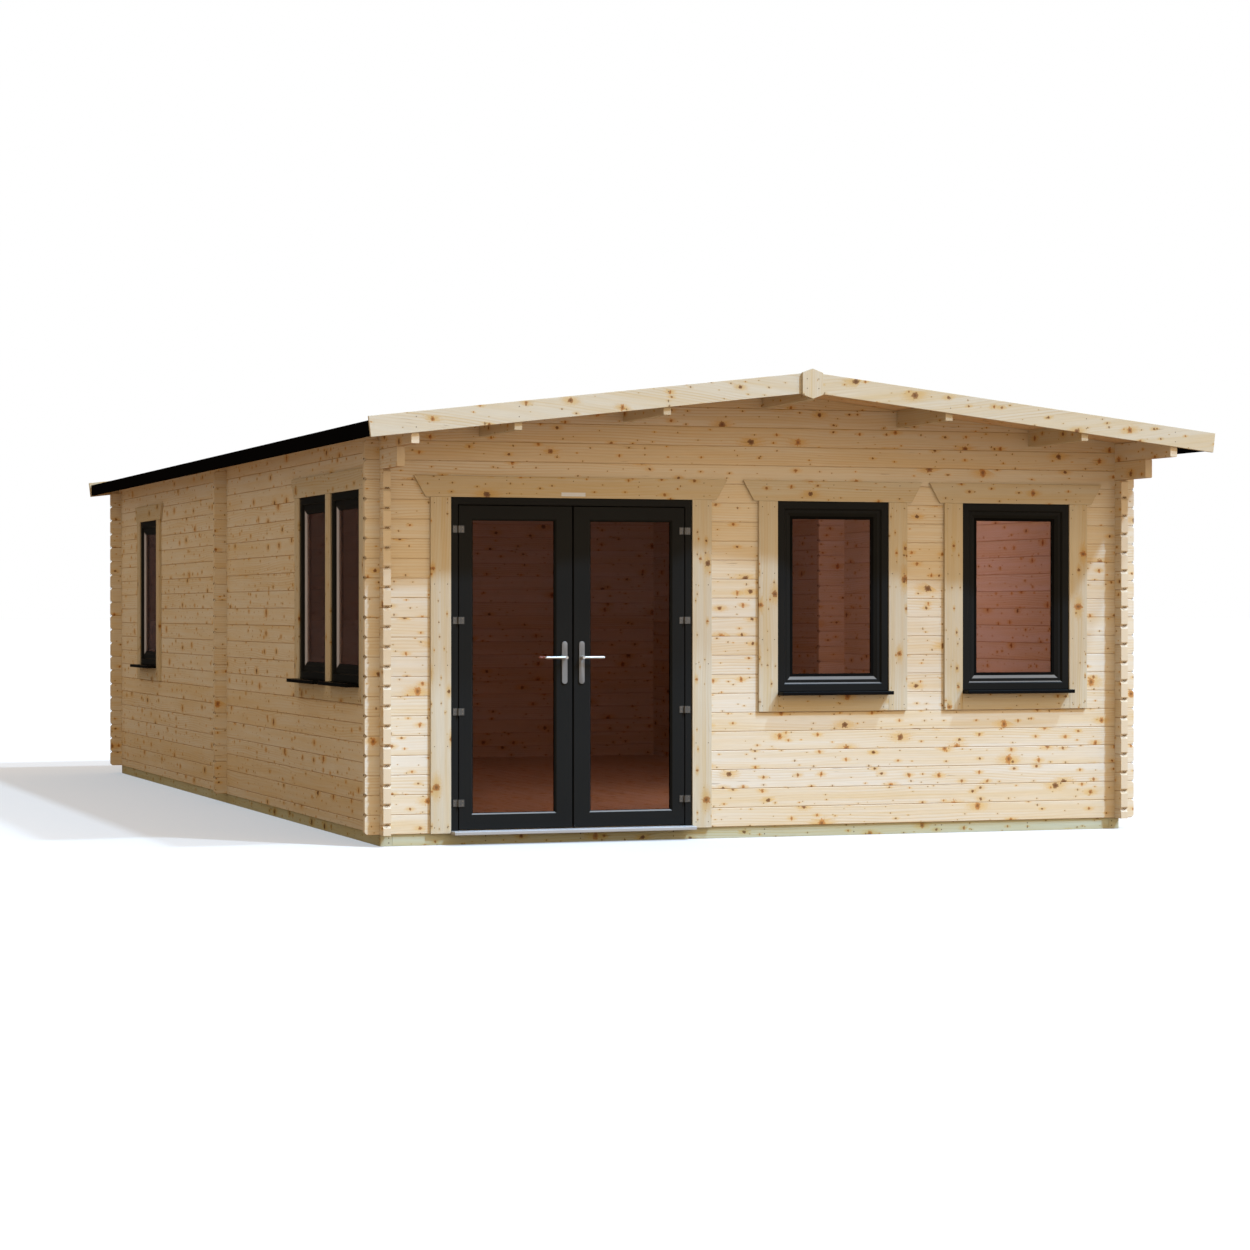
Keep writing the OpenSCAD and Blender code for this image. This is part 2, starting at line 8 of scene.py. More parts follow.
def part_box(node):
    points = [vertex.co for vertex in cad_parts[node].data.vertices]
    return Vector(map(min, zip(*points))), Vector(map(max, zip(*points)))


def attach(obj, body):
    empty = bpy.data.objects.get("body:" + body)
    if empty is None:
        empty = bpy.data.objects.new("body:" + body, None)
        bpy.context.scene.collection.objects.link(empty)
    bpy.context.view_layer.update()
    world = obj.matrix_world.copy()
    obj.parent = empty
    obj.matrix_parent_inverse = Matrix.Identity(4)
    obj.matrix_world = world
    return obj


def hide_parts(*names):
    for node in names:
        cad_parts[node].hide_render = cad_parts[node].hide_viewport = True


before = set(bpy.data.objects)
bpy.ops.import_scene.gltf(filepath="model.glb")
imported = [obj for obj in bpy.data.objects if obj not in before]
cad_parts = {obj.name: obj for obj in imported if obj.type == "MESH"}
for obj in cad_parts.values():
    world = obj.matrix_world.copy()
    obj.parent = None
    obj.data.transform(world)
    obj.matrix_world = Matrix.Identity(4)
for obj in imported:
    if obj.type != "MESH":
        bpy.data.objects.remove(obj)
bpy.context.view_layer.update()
print("packed cabin loaded:", len(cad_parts), "nodes")
scene = bpy.context.scene

# Places that everything below is worked out from, in metres.
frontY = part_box("front_wall_over_door")[0].y        # outer face of the front wall
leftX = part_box("left_wall_front")[0].x              # outer face of the left wall
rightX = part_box("right_wall_front")[1].x
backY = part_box("back_wall")[1].y
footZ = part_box("front_wall_left")[0].z              # top of the base beams
logs = {"course": 0.114, "thick": 0.045}
roofSlope = math.radians(6.6)

# Helpers that add shader nodes.
def addNode(tree, kind, inputs=None, **settings):
    made = tree.nodes.new("ShaderNode" + kind)
    for key, value in settings.items():
        setattr(made, key, value)
    for key, value in (inputs or {}).items():
        feed(tree, made.inputs[key], value)
    return made

def feed(tree, socket, value):
    if isinstance(value, bpy.types.NodeSocket):
        tree.links.new(value, socket)
    else:
        socket.default_value = value

def maths(tree, operation, *values, clamp=False):
    made = addNode(tree, "Math", operation=operation, use_clamp=clamp)
    for socket, value in zip(made.inputs, values):
        feed(tree, socket, value)
    return made.outputs[0]

def vectorMaths(tree, operation, *values):
    made = addNode(tree, "VectorMath", operation=operation)
    for socket, value in zip(made.inputs, values):
        feed(tree, socket, value)
    return made.outputs["Value" if operation in ("LENGTH", "DOT_PRODUCT") else "Vector"]

def remap(tree, value, low, high, toLow=0.0, toHigh=1.0, smooth=False):
    kind = "SMOOTHSTEP" if smooth else "LINEAR"
    made = addNode(tree, "MapRange", {0: value, 1: low, 2: high, 3: toLow, 4: toHigh},
                   interpolation_type=kind)
    return made.outputs[0]

def mixColour(tree, factor, a, b, blend="MIX"):
    made = addNode(tree, "Mix", data_type="RGBA", blend_type=blend)
    for index, value in ((0, factor), (6, a), (7, b)):
        feed(tree, made.inputs[index], value)
    return made.outputs[2]

def joinXyz(tree, x, y, z):
    return addNode(tree, "CombineXYZ", {0: x, 1: y, 2: z}).outputs[0]

def splitXyz(tree, vector):
    return addNode(tree, "SeparateXYZ", {0: vector}).outputs

def noise(tree, vector, scale, detail=2.0, roughness=0.5):
    return addNode(tree, "TexNoise", {"Vector": vector, "Scale": scale, "Detail": detail,
                                      "Roughness": roughness}).outputs["Fac"]

def newMaterial(name):
    material = bpy.data.materials.new(name)
    material.use_nodes = True
    return material, material.node_tree, material.node_tree.nodes["Principled BSDF"]

def bump(tree, shader, height, strength, distance):
    made = addNode(tree, "Bump", {"Strength": strength, "Distance": distance, "Height": height})
    tree.links.new(made.outputs[0], shader.inputs["Normal"])

# Sawn pine. The colours, with the width of the growth rings along a face and on a sawn end.
pine = {
    "pale": (0.665, 0.62, 0.545, 1), "warm": (0.64, 0.53, 0.365, 1), "ring": (0.56, 0.40, 0.20, 1),
    "knot": (0.48, 0.20, 0.045, 1), "knotDark": (0.11, 0.036, 0.012, 1), "halo": (0.62, 0.40, 0.13, 1),
    "crack": (0.17, 0.085, 0.035, 1), "joint": (0.40, 0.21, 0.085, 1), "endGrain": (0.63, 0.55, 0.43, 1),
    "ringWidth": 0.017, "endRingWidth": 0.006, "roughness": 0.58,
}
# A knot's cell along and across the board, its least and most radius, and the share of cells
# that hold one. glow, depth and dark are the strengths of its halo, its body and its core.
knotKinds = {
    "big": {"cell": (0.36, 0.114), "radius": (0.007, 0.023), "share": 0.62,
            "glow": 0.70, "depth": 0.85, "dark": 0.60},
    "small": {"cell": (0.18, 0.076), "radius": (0.0035, 0.011), "share": 0.55,
              "glow": 0.62, "depth": 0.80, "dark": 0.50},
    "pin": {"cell": (0.12, 0.047), "radius": (0.0022, 0.006), "share": 0.45,
            "glow": 0.40, "depth": 0.75},
}
# How close each mark of the wood repeats, along the board and across it.
markScales = {
    "knotEdge": (75.0, 75.0, 0.0), "wander": (0.9, 3.0, 3.0), "faint": (0.5, 9.0, 9.0),
    "fibre": (9.0, 420.0, 420.0), "streak": (0.7, 26.0, 26.0), "cloud": (1.6, 7.0, 7.0),
    "check": (5.0, 150.0, 0.0), "checkPlace": (2.0, 9.0, 0.0),
}
pineSockets = {
    "INPUT": (("Grain", "Vector"), ("Board", "Float"), ("End", "Float"), ("SeamShade", "Float")),
    "OUTPUT": (("Colour", "Color"), ("Roughness", "Float"), ("Height", "Float")),
}

def pineGroup():
    tree = bpy.data.node_groups.new("sawn pine", "ShaderNodeTree")
    for side, sockets in pineSockets.items():
        for name, kind in sockets:
            tree.interface.new_socket(name, in_out=side, socket_type="NodeSocket" + kind)
    given = tree.nodes.new("NodeGroupInput").outputs
    result = tree.nodes.new("NodeGroupOutput")

    chance = addNode(tree, "TexWhiteNoise", {"W": given["Board"]}, noise_dimensions="1D")
    dice = splitXyz(tree, chance.outputs["Color"])
    shift = vectorMaths(tree, "MULTIPLY", chance.outputs["Color"], (37.0, 5.0, 11.0))
    here = vectorMaths(tree, "ADD", given["Grain"], shift)   # each board is cut from another place
    parts = splitXyz(tree, here)
    girth = maths(tree, "ADD", parts[1], parts[2])          # the marks go round the board's corners
    flat = joinXyz(tree, parts[0], girth, 0.0)

    def marks(vector, name, detail, roughness=0.5):
        return noise(tree, vectorMaths(tree, "MULTIPLY", vector, markScales[name]), 1.0, detail, roughness)

    def knots(kind):
        cellLong, cellWide = kind["cell"]
        plane = vectorMaths(tree, "MULTIPLY", flat, (1 / cellLong, 1 / cellWide, 0.0))
        cell = addNode(tree, "TexVoronoi", {"Vector": plane, "Scale": 1.0, "Randomness": 0.95},
                       voronoi_dimensions="2D")
        away = vectorMaths(tree, "SUBTRACT", plane, cell.outputs["Position"])
        luck = splitXyz(tree, cell.outputs["Color"])
        lean = remap(tree, luck[2], 0, 1, 0.65, 1.25)     # some knots are wide, some tall
        spread = joinXyz(tree, cellLong, maths(tree, "MULTIPLY", lean, cellWide), 0.0)
        oval = vectorMaths(tree, "MULTIPLY", away, spread)
        edge = marks(flat, "knotEdge", 2.0, 0.7)
        ragged = remap(tree, edge, 0.2, 0.8, 0.45, 1.55)
        far = maths(tree, "MULTIPLY", vectorMaths(tree, "LENGTH", oval), ragged)
        radius = remap(tree, maths(tree, "POWER", luck[0], 1.7), 0, 1, *kind["radius"])
        present = maths(tree, "LESS_THAN", luck[1], kind["share"])
        reach = maths(tree, "DIVIDE", far, radius)
        flame = vectorMaths(tree, "MULTIPLY", away, (cellLong * 0.42, cellWide, 0.0))
        flameFar = maths(tree, "DIVIDE", vectorMaths(tree, "LENGTH", flame), radius)
        flameFar = maths(tree, "MULTIPLY", flameFar, remap(tree, edge, 0.2, 0.8, 0.7, 1.3))
        body = maths(tree, "MULTIPLY", remap(tree, reach, 1.1, 0.8, smooth=True), present)
        core = maths(tree, "MULTIPLY", remap(tree, reach, 0.70, 0.20, smooth=True), present)
        halo = maths(tree, "MULTIPLY", remap(tree, flameFar, 2.4, 0.4, smooth=True), present)
        return {**kind, "body": body, "core": core, "halo": halo, "luck": luck[2]}

    big, small, pins = [knots(knotKinds[name]) for name in ("big", "small", "pin")]

    # Growth rings run along the board and bend round the knots.
    bend = maths(tree, "MULTIPLY", big["halo"], 0.014)
    wander = marks(here, "wander", 1.0)
    across = maths(tree, "ADD", girth, maths(tree, "MULTIPLY", wander, 0.10))
    across = maths(tree, "ADD", across, bend)
    wave = maths(tree, "SINE", maths(tree, "MULTIPLY", across, math.tau / pine["ringWidth"]))
    rings = remap(tree, wave, -0.2, 1.0, smooth=True)
    faint = marks(here, "faint", 2.0)
    rings = maths(tree, "MULTIPLY", rings, remap(tree, faint, 0.42, 0.66, 0.0, 0.50))
    fibre = marks(here, "fibre", 2.0, 0.6)
    streak = marks(here, "streak", 3.0, 0.6)
    cloud = marks(here, "cloud", 2.0)

    tone = remap(tree, maths(tree, "ADD", streak, maths(tree, "MULTIPLY", cloud, 0.5)), 0.55, 0.98)
    tone = maths(tree, "ADD", tone, remap(tree, dice[0], 0, 1, -0.28, 0.28), clamp=True)
    colour = mixColour(tree, tone, pine["pale"], pine["warm"])
    colour = mixColour(tree, rings, colour, pine["ring"])
    for found in (big, small, pins):
        colour = mixColour(tree, maths(tree, "MULTIPLY", found["halo"], found["glow"]), colour, pine["halo"])
    for found in (big, small):
        dark = remap(tree, found["luck"], 0.30, 0.80, 0, 0.80)
        knotTone = mixColour(tree, dark, pine["knot"], pine["knotDark"])
        colour = mixColour(tree, maths(tree, "MULTIPLY", found["body"], found["depth"]), colour, knotTone)
        heart = maths(tree, "MULTIPLY", found["core"], found["dark"])
        colour = mixColour(tree, heart, colour, pine["knotDark"])
    colour = mixColour(tree, maths(tree, "MULTIPLY", pins["body"], pins["depth"]), colour, pine["crack"])

    # Short checks in the surface, along the grain.
    check = marks(flat, "check", 1.0)
    where = marks(flat, "checkPlace", 1.0)
    check = maths(tree, "MULTIPLY", remap(tree, check, 0.70, 0.74), remap(tree, where, 0.60, 0.66))
    colour = mixColour(tree, maths(tree, "MULTIPLY", check, 0.7), colour, pine["crack"])

    # Sawn ends show rings round a heart that lies off the middle.
    offWide, offDeep = maths(tree, "MULTIPLY", dice[1], 0.06), maths(tree, "MULTIPLY", dice[2], 0.05)
    middle = joinXyz(tree, 0.0, offWide, offDeep)
    local = vectorMaths(tree, "SUBTRACT", given["Grain"], middle)
    local = vectorMaths(tree, "MULTIPLY", local, (0.0, 1.0, 1.0))
    turns = maths(tree, "MULTIPLY", vectorMaths(tree, "LENGTH", local), math.tau / pine["endRingWidth"])
    ends = remap(tree, maths(tree, "SINE", turns), -0.4, 1.0, 0.0, 0.30)
    endColour = mixColour(tree, ends, pine["endGrain"], pine["ring"])
    colour = mixColour(tree, given["End"], colour, endColour)
    # A darker brown band along each log joint: partly the seam's own colour, partly painted shade in the
    # groove.
    colour = mixColour(tree, given["SeamShade"], colour, pine["joint"])
    fine = remap(tree, fibre, 0.3, 0.7, 0.95, 1.05)
    colour = mixColour(tree, 1.0, colour, joinXyz(tree, fine, fine, fine), "MULTIPLY")

    rough = remap(tree, fibre, 0.3, 0.7, pine["roughness"] - 0.06, pine["roughness"] + 0.08)
    rough = maths(tree, "SUBTRACT", rough, maths(tree, "MULTIPLY", big["body"], 0.15))
    height = maths(tree, "ADD", maths(tree, "MULTIPLY", fibre, 0.5), maths(tree, "MULTIPLY", rings, 0.8))
    height = maths(tree, "ADD", height, maths(tree, "MULTIPLY", big["body"], 0.5))
    height = maths(tree, "SUBTRACT", height, check)
    for name, value in (("Colour", colour), ("Roughness", rough), ("Height", height)):
        tree.links.new(value, result.inputs[name])
    return tree

pineTree = pineGroup()

def usePine(tree, shader, grain, board, end, joint, tint=None):
    wood = addNode(tree, "Group", node_tree=pineTree)
    for name, value in (("Grain", grain), ("Board", board), ("End", end), ("SeamShade", joint)):
        feed(tree, wood.inputs[name], value)
    colour = wood.outputs["Colour"]
    if tint:
        colour = mixColour(tree, 1.0, colour, (*tint, 1), "MULTIPLY")
    tree.links.new(colour, shader.inputs["Base Color"])
    tree.links.new(wood.outputs["Roughness"], shader.inputs["Roughness"])
    shader.inputs["Specular IOR Level"].default_value = 0.35
    bump(tree, shader, wood.outputs["Height"], 0.35, 0.0012)

# Stacked wall logs, laid along x or along y, with a joint at each course, darkened in a thin band: partly the
# seam's own colour, partly painted shade in the groove.
def stackedLogs(name, alongX, phase, jointDepth):
    material, tree, shader = newMaterial(name)
    coords = addNode(tree, "TexCoord").outputs["Object"]
    x, y, z = splitXyz(tree, coords)
    along, deep = (x, y) if alongX else (y, x)
    up = maths(tree, "SUBTRACT", z, footZ)
    grain = joinXyz(tree, along, up, deep)
    course = maths(tree, "ADD", maths(tree, "DIVIDE", up, logs["course"]), 1 - phase)
    number = maths(tree, "FLOOR", course)
    wall = maths(tree, "MULTIPLY", maths(tree, "SIGN", deep), 41.3)
    board = maths(tree, "ADD", number, wall)
    share = maths(tree, "FRACT", course)
    nearest = maths(tree, "SUBTRACT", 0.5, maths(tree, "ABSOLUTE", maths(tree, "SUBTRACT", share, 0.5)))
    joint = remap(tree, nearest, 0.005, 0.020, jointDepth, 0.0, smooth=True)
    normal = splitXyz(tree, addNode(tree, "NewGeometry").outputs["True Normal"])
    facing = maths(tree, "ABSOLUTE", normal[0] if alongX else normal[1])
    end = remap(tree, facing, 0.6, 0.8)
    usePine(tree, shader, grain, board, end, joint)
    return material

# Single boards, whose mesh carries its own grain direction and number.
def sawnBoard(name, tint=None):
    material, tree, shader = newMaterial(name)
    grain = addNode(tree, "Attribute", attribute_name="grain").outputs["Vector"]
    board = addNode(tree, "Attribute", attribute_name="board").outputs["Fac"]
    end = addNode(tree, "Attribute", attribute_name="endGrain").outputs["Fac"]
    usePine(tree, shader, grain, board, end, 0.0, tint)
    return material

# The strength of each joint's darker band: partly seam colour, partly painted shade.
acrossLogs = stackedLogs("pine logs laid across", True, 0.0, 0.45)
longLogs = stackedLogs("pine logs laid front to back", False, 0.5, 0.80)
boardPine = sawnBoard("planed pine boards", (0.81, 0.80, 0.75))
floorPine = sawnBoard("pine floor boards", (1.0, 0.97, 0.92))
# The roof boards take a darker, more orange tint: painted shade for their undersides in the shade of the
# canopy.
shadedRoofPine = sawnBoard("pine roof boards with painted shade", (1.0, 0.80, 0.60))
treatedPine = sawnBoard("green treated pine", (0.71, 0.82, 0.77))

# Other finishes: each is a fine mix of two colours, with bumps of the same grain.
def speckled(name, colour, other, roughness, scale=600, strength=0.05, distance=0.0003, metallic=0.0,
             specular=0.5):
    material, tree, shader = newMaterial(name)
    coords = addNode(tree, "TexCoord").outputs["Object"]
    grains = noise(tree, coords, scale, 3.0, 0.6)
    broad = noise(tree, coords, 2.5, 2.0)
    mixed = mixColour(tree, remap(tree, grains, 0.3, 0.7), (*colour, 1), (*other, 1))
    soft = remap(tree, broad, 0.3, 0.7, 0.94, 1.06)
    mixed = mixColour(tree, 1.0, mixed, joinXyz(tree, soft, soft, soft), "MULTIPLY")
    tree.links.new(mixed, shader.inputs["Base Color"])
    rough = remap(tree, grains, 0.3, 0.7, roughness - 0.04, roughness + 0.04)
    tree.links.new(rough, shader.inputs["Roughness"])
    shader.inputs["Metallic"].default_value = metallic
    shader.inputs["Specular IOR Level"].default_value = specular
    bump(tree, shader, grains, strength, distance)
    return material

anthracite = speckled("anthracite frame", (0.0115, 0.0122, 0.0125), (0.0150, 0.0158, 0.0162), 0.34,
                      900, specular=0.05)
# A grey painted highlight on the bead slopes and frame ledges at the foot of the doors and windows.
paintedHighlightGrey = speckled("painted highlight on glazing beads", (0.17, 0.17, 0.17), (0.21, 0.21, 0.21), 0.50, 700, specular=0.1)
# A pale painted reflection on the rear bead of the side windows.
paintedReflectionBand = speckled("painted reflection on side glazing", (0.38, 0.39, 0.48), (0.44, 0.45, 0.55), 0.40, 700,
                    specular=0.3)
sillBlack = speckled("black sill", (0.004, 0.004, 0.0045), (0.007, 0.007, 0.0075), 0.35, 700,
                     specular=0.03)
rubber = speckled("black rubber", (0.003, 0.003, 0.003), (0.006, 0.006, 0.006), 0.7,
                  500, strength=0.1, distance=0.0004, specular=0.03)
blackBoard = speckled("black painted board", (0.002, 0.002, 0.0023), (0.004, 0.004, 0.0045), 0.7,
                      160, strength=0.3, distance=0.0008, specular=0.0)
feltFinish = speckled("mineral felt", (0.014, 0.014, 0.015), (0.060, 0.060, 0.062), 0.9,
                      900, strength=0.9, distance=0.0015, specular=0.1)
satinSteel = speckled("satin steel", (0.21, 0.21, 0.215), (0.27, 0.27, 0.275), 0.38,
                      distance=0.0002, metallic=0.4)
hingeSteel = speckled("hinge steel", (0.10, 0.095, 0.09), (0.18, 0.17, 0.16), 0.22,
                      distance=0.0002, metallic=0.5)
brightSteel = speckled("bright steel", (0.60, 0.58, 0.55), (0.70, 0.68, 0.64), 0.30,
                       strength=0.03, distance=0.0002, metallic=0.6)
greySill = speckled("mill aluminium", (0.36, 0.36, 0.37), (0.44, 0.44, 0.45), 0.42,
                    500, strength=0.08, metallic=0.2)
nailSteel = speckled("nail heads", (0.10, 0.075, 0.05), (0.17, 0.13, 0.09), 0.5,
                     900, strength=0.2, metallic=0.3)
plateFinish = speckled("blank plate", (0.60, 0.66, 0.78), (0.68, 0.74, 0.86), 0.38, 800,
                       distance=0.0002)
# Dark brown painted shade for the tongue joints on the log ends.
tongueShadeBrown = speckled("painted shade in tongue joints", (0.055, 0.026, 0.012), (0.10, 0.05, 0.022), 0.8,
                     300, strength=0.2, distance=0.0005, specular=0.1)

bronzeGlass = {
    "tint": (0.52, 0.29, 0.265, 1), "smear": (0.47, 0.275, 0.26, 1), "shadedSideTint": (0.19, 0.105, 0.08, 1),
    "letThrough": (1.0, 0.97, 0.95, 1), "bends": 1.10,
}

def glassMaterial():
    material, tree, shader = newMaterial("bronze tinted glass")
    coords = addNode(tree, "TexCoord").outputs["Object"]
    smear = noise(tree, coords, 3.0, 2.0)
    tint = mixColour(tree, remap(tree, smear, 0.3, 0.7, 0, 0.5), bronzeGlass["tint"], bronzeGlass["smear"])
    # The panes in the side wall take a darker tint: painted shade, as that wall stands in shade and the glass
    # is the same.
    atSide = maths(tree, "LESS_THAN", splitXyz(tree, coords)[0], leftX + logs["thick"])
    tint = mixColour(tree, atSide, tint, bronzeGlass["shadedSideTint"])
    tree.links.new(tint, shader.inputs["Base Color"])
    shader.inputs["Transmission Weight"].default_value = 1.0
    shader.inputs["IOR"].default_value = bronzeGlass["bends"]
    shader.inputs["Roughness"].default_value = 0.0
    path = addNode(tree, "LightPath").outputs
    passing = maths(tree, "MAXIMUM", path["Is Shadow Ray"], path["Is Diffuse Ray"])
    clear = addNode(tree, "BsdfTransparent", {"Color": bronzeGlass["letThrough"]})
    both = addNode(tree, "MixShader", {0: passing, 1: shader.outputs[0], 2: clear.outputs[0]})
    tree.links.new(both.outputs[0], tree.nodes["Material Output"].inputs["Surface"])
    return material

glass = glassMaterial()

# Helpers that build meshes. merge is in metres, flat and sharp in degrees.
meshRules = {"merge": 1e-5, "flat": 0.4, "sharp": 25.0}

def newPiece(name, bm, body, materials, replaced=()):
    mesh = bpy.data.meshes.new(name)
    bm.to_mesh(mesh)
    bm.free()
    for material in materials:
        mesh.materials.append(material)
    piece = bpy.data.objects.new(name, mesh)
    scene.collection.objects.link(piece)
    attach(piece, body)
    if replaced:
        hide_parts(*replaced)

def nodeMesh(*names):
    bm = bmesh.new()
    for name in names:
        bm.from_mesh(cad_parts[name].data)
    bmesh.ops.remove_doubles(bm, verts=bm.verts, dist=meshRules["merge"])
    bmesh.ops.dissolve_limit(bm, angle_limit=math.radians(meshRules["flat"]), verts=bm.verts, edges=bm.edges)
    return bm

def bevel(bm, edges, width, segments):
    bmesh.ops.bevel(bm, geom=edges, offset=width, offset_type="OFFSET", segments=segments,
                    profile=0.5, affect="EDGES", clamp_overlap=True)

def easeEdges(bm, width, shortest=0.018):
    sharpest = math.radians(meshRules["sharp"])
    sharp = [edge for edge in bm.edges if len(edge.link_faces) == 2
             and edge.calc_face_angle(0) > sharpest and edge.calc_length() > shortest]
    bevel(bm, sharp, width, 2)

def separateSolids(bm):
    seen, found = set(), []
    for start in bm.verts:
        if start in seen:
            continue
        seen.add(start)
        stack, group = [start], []
        while stack:
            vert = stack.pop()
            group.append(vert)
            for edge in vert.link_edges:
                other = edge.other_vert(vert)
                if other not in seen:
                    seen.add(other)
                    stack.append(other)
        found.append(group)
    return found

def corners(points):
    return (Vector([min(point[i] for point in points) for i in range(3)]),
            Vector([max(point[i] for point in points) for i in range(3)]))

def nodeSolids(name):
    bm = nodeMesh(name)
    boxes = [corners([vert.co for vert in group]) for group in separateSolids(bm)]
    bm.free()
    return sorted(boxes, key=lambda box: tuple(round(value, 3) for value in box[0]))

# The number of each piece's first board, which sets the wood that it is cut from.
boardNumbers = {
    "baseBeams": 100, "purlins": 200, "bargeboards": 300, "ridgePlaques": 320, "doorTrim": 340,
    "frontWindowTrim": 360, "sideWindowTrim": 380, "floorBoards": 400, "leftRoofBoards": 500,
    "rightRoofBoards": 700,
}

# Gives each separate board its grain direction, along its longest side, and a number of its own.
def markGrain(bm, piece, tilted=False):
    grain = bm.verts.layers.float_vector.new("grain")
    board = bm.faces.layers.float.new("board")
    endGrain = bm.faces.layers.float.new("endGrain")
    for number, group in enumerate(separateSolids(bm)):
        low, high = corners([vert.co for vert in group])
        middle = (low + high) / 2
        turn = Matrix.Identity(3)
        if tilted:
            turn = Matrix.Rotation(math.copysign(roofSlope, -middle.x), 3, "Y").inverted()
        low, high = corners([turn @ (vert.co - middle) for vert in group])
        size = high - low
        order = sorted(range(3), key=lambda axis: -size[axis])
        for vert in group:
            local = turn @ (vert.co - middle)
            vert[grain] = Vector([local[axis] for axis in order])
        for face in {face for vert in group for face in vert.link_faces}:
            face[board] = boardNumbers[piece] + number
            face[endGrain] = float(abs((turn @ face.normal)[order[0]]) > 0.7)

def boardPiece(name, nodes, material, ease=0.002, tilted=False):
    bm = nodeMesh(*nodes)
    easeEdges(bm, ease)
    bm.normal_update()
    markGrain(bm, name, tilted)
    newPiece(name, bm, "cabin", [material], nodes)

def addBlock(bm, low, high, ease=0.0):
    middle, size = (Vector(low) + Vector(high)) / 2, Vector(high) - Vector(low)
    place = Matrix.Translation(middle) @ Matrix.Diagonal((*size, 1))
    made = bmesh.ops.create_cube(bm, size=1.0, matrix=place)["verts"]
    if ease:
        bevel(bm, list(dict.fromkeys(edge for vert in made for edge in vert.link_edges)), ease, 1)

# The third place holds the painted highlight and the fourth the painted reflection.
painted, sealed, paintedHighlightSlot, paintedReflectionSlot = 0, 1, 2, 3      # places in a ring's list of materials

# A mitred ring: a closed row of rectangles (left, right, foot, top, depth), each joined to the next. marks
# gives the material of each band, and the (band, side) pairs given after it take painted light instead: a
# grey painted highlight or a pale painted reflection.
def addRing(bm, loops, place, marks=None, paintedLightPairs=(), paintedLightSlot=paintedHighlightSlot):
    rows = []
    for left, right, foot, top, deep in loops:
        spots = ((left, foot), (right, foot), (right, top), (left, top))
        rows.append([bm.verts.new(place @ Vector((x, deep, z))) for x, z in spots])
    for i, row in enumerate(rows):
        after = rows[(i + 1) % len(rows)]
        for k in range(4):
            face = bm.faces.new((row[k], row[(k + 1) % 4], after[(k + 1) % 4], after[k]))
            face.material_index = paintedLightSlot if (i, k) in paintedLightPairs else marks[i] if marks else painted

def inset(rect, amount, deep):
    left, right, foot, top = rect
    return (left + amount, right - amount, foot + amount, top - amount, deep)

headOutline = ((1.0, 0.0), (1.0, 0.35), (0.72, 0.85), (0.0, 1.0))     # share of the radius, share of the rise

# A low domed head, such as a nail's or a screw's, on a face whose outward direction is given.
def addHead(bm, centre, outward, kind):
    radius, rise, sides = kind["radius"], kind["rise"], kind.get("sides", 10)
    turn = Vector((0, 0, 1)).rotation_difference(Vector(outward)).to_matrix().to_4x4()
    place = Matrix.Translation(Vector(centre)) @ turn
    angles = [math.tau * i / sides for i in range(sides)]
    rows = []
    for share, lift in headOutline:
        if share == 0:
            rows.append([bm.verts.new(place @ Vector((0, 0, rise * lift)))])
            continue
        reach = radius * share
        spots = [(reach * math.cos(angle), reach * math.sin(angle), rise * lift) for angle in angles]
        rows.append([bm.verts.new(place @ Vector(spot)) for spot in spots])
    for low, high in zip(rows, rows[1:]):
        for i in range(sides):
            j = (i + 1) % sides
            if len(high) == 1:
                bm.faces.new((low[i], low[j], high[0]))
            else:
                bm.faces.new((low[i], low[j], high[j], high[i]))
    bm.faces.new(list(reversed(rows[0])))

# Pieces that keep their own shape and only take a finish.
def paint(material, *names):
    for name in names:
        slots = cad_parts[name].data.materials
        slots.clear()
        slots.append(material)

paint(acrossLogs, "front_wall_left", "front_wall_right", "front_wall_over_door", "front_gable",
      "back_wall", "back_gable", "left_cross_log_ends", "right_cross_log_ends")
paint(longLogs, "left_wall_front", "left_wall_back", "right_wall_front", "right_wall_back",
      "front_log_ends", "back_log_ends", "left_eaves_logs", "right_eaves_logs")
paint(glass, "left_door_glass", "right_door_glass", "window_glass")
paint(hingeSteel, "frame_hinges", "left_door_hinges", "right_door_hinges")
paint(brightSteel, "left_lever", "right_lever")
print("walls finished")

boardPiece("baseBeams", ["base_frame"], treatedPine)
boardPiece("purlins", ["ridge_purlin", "left_purlins", "right_purlins"], boardPine, 0.0015)
boardPiece("bargeboards", ["front_bargeboards", "back_bargeboards"], boardPine, tilted=True)
boardPiece("ridgePlaques", ["ridge_plaques"], boardPine)
for name, node in (("doorTrim", "door_trim"), ("frontWindowTrim", "front_window_trim"),
                   ("sideWindowTrim", "side_window_trim")):
    boardPiece(name, [node], boardPine)
print("boards finished")

floorBoards = {"width": 0.120, "open": 0.0008, "ease": 0.0015}

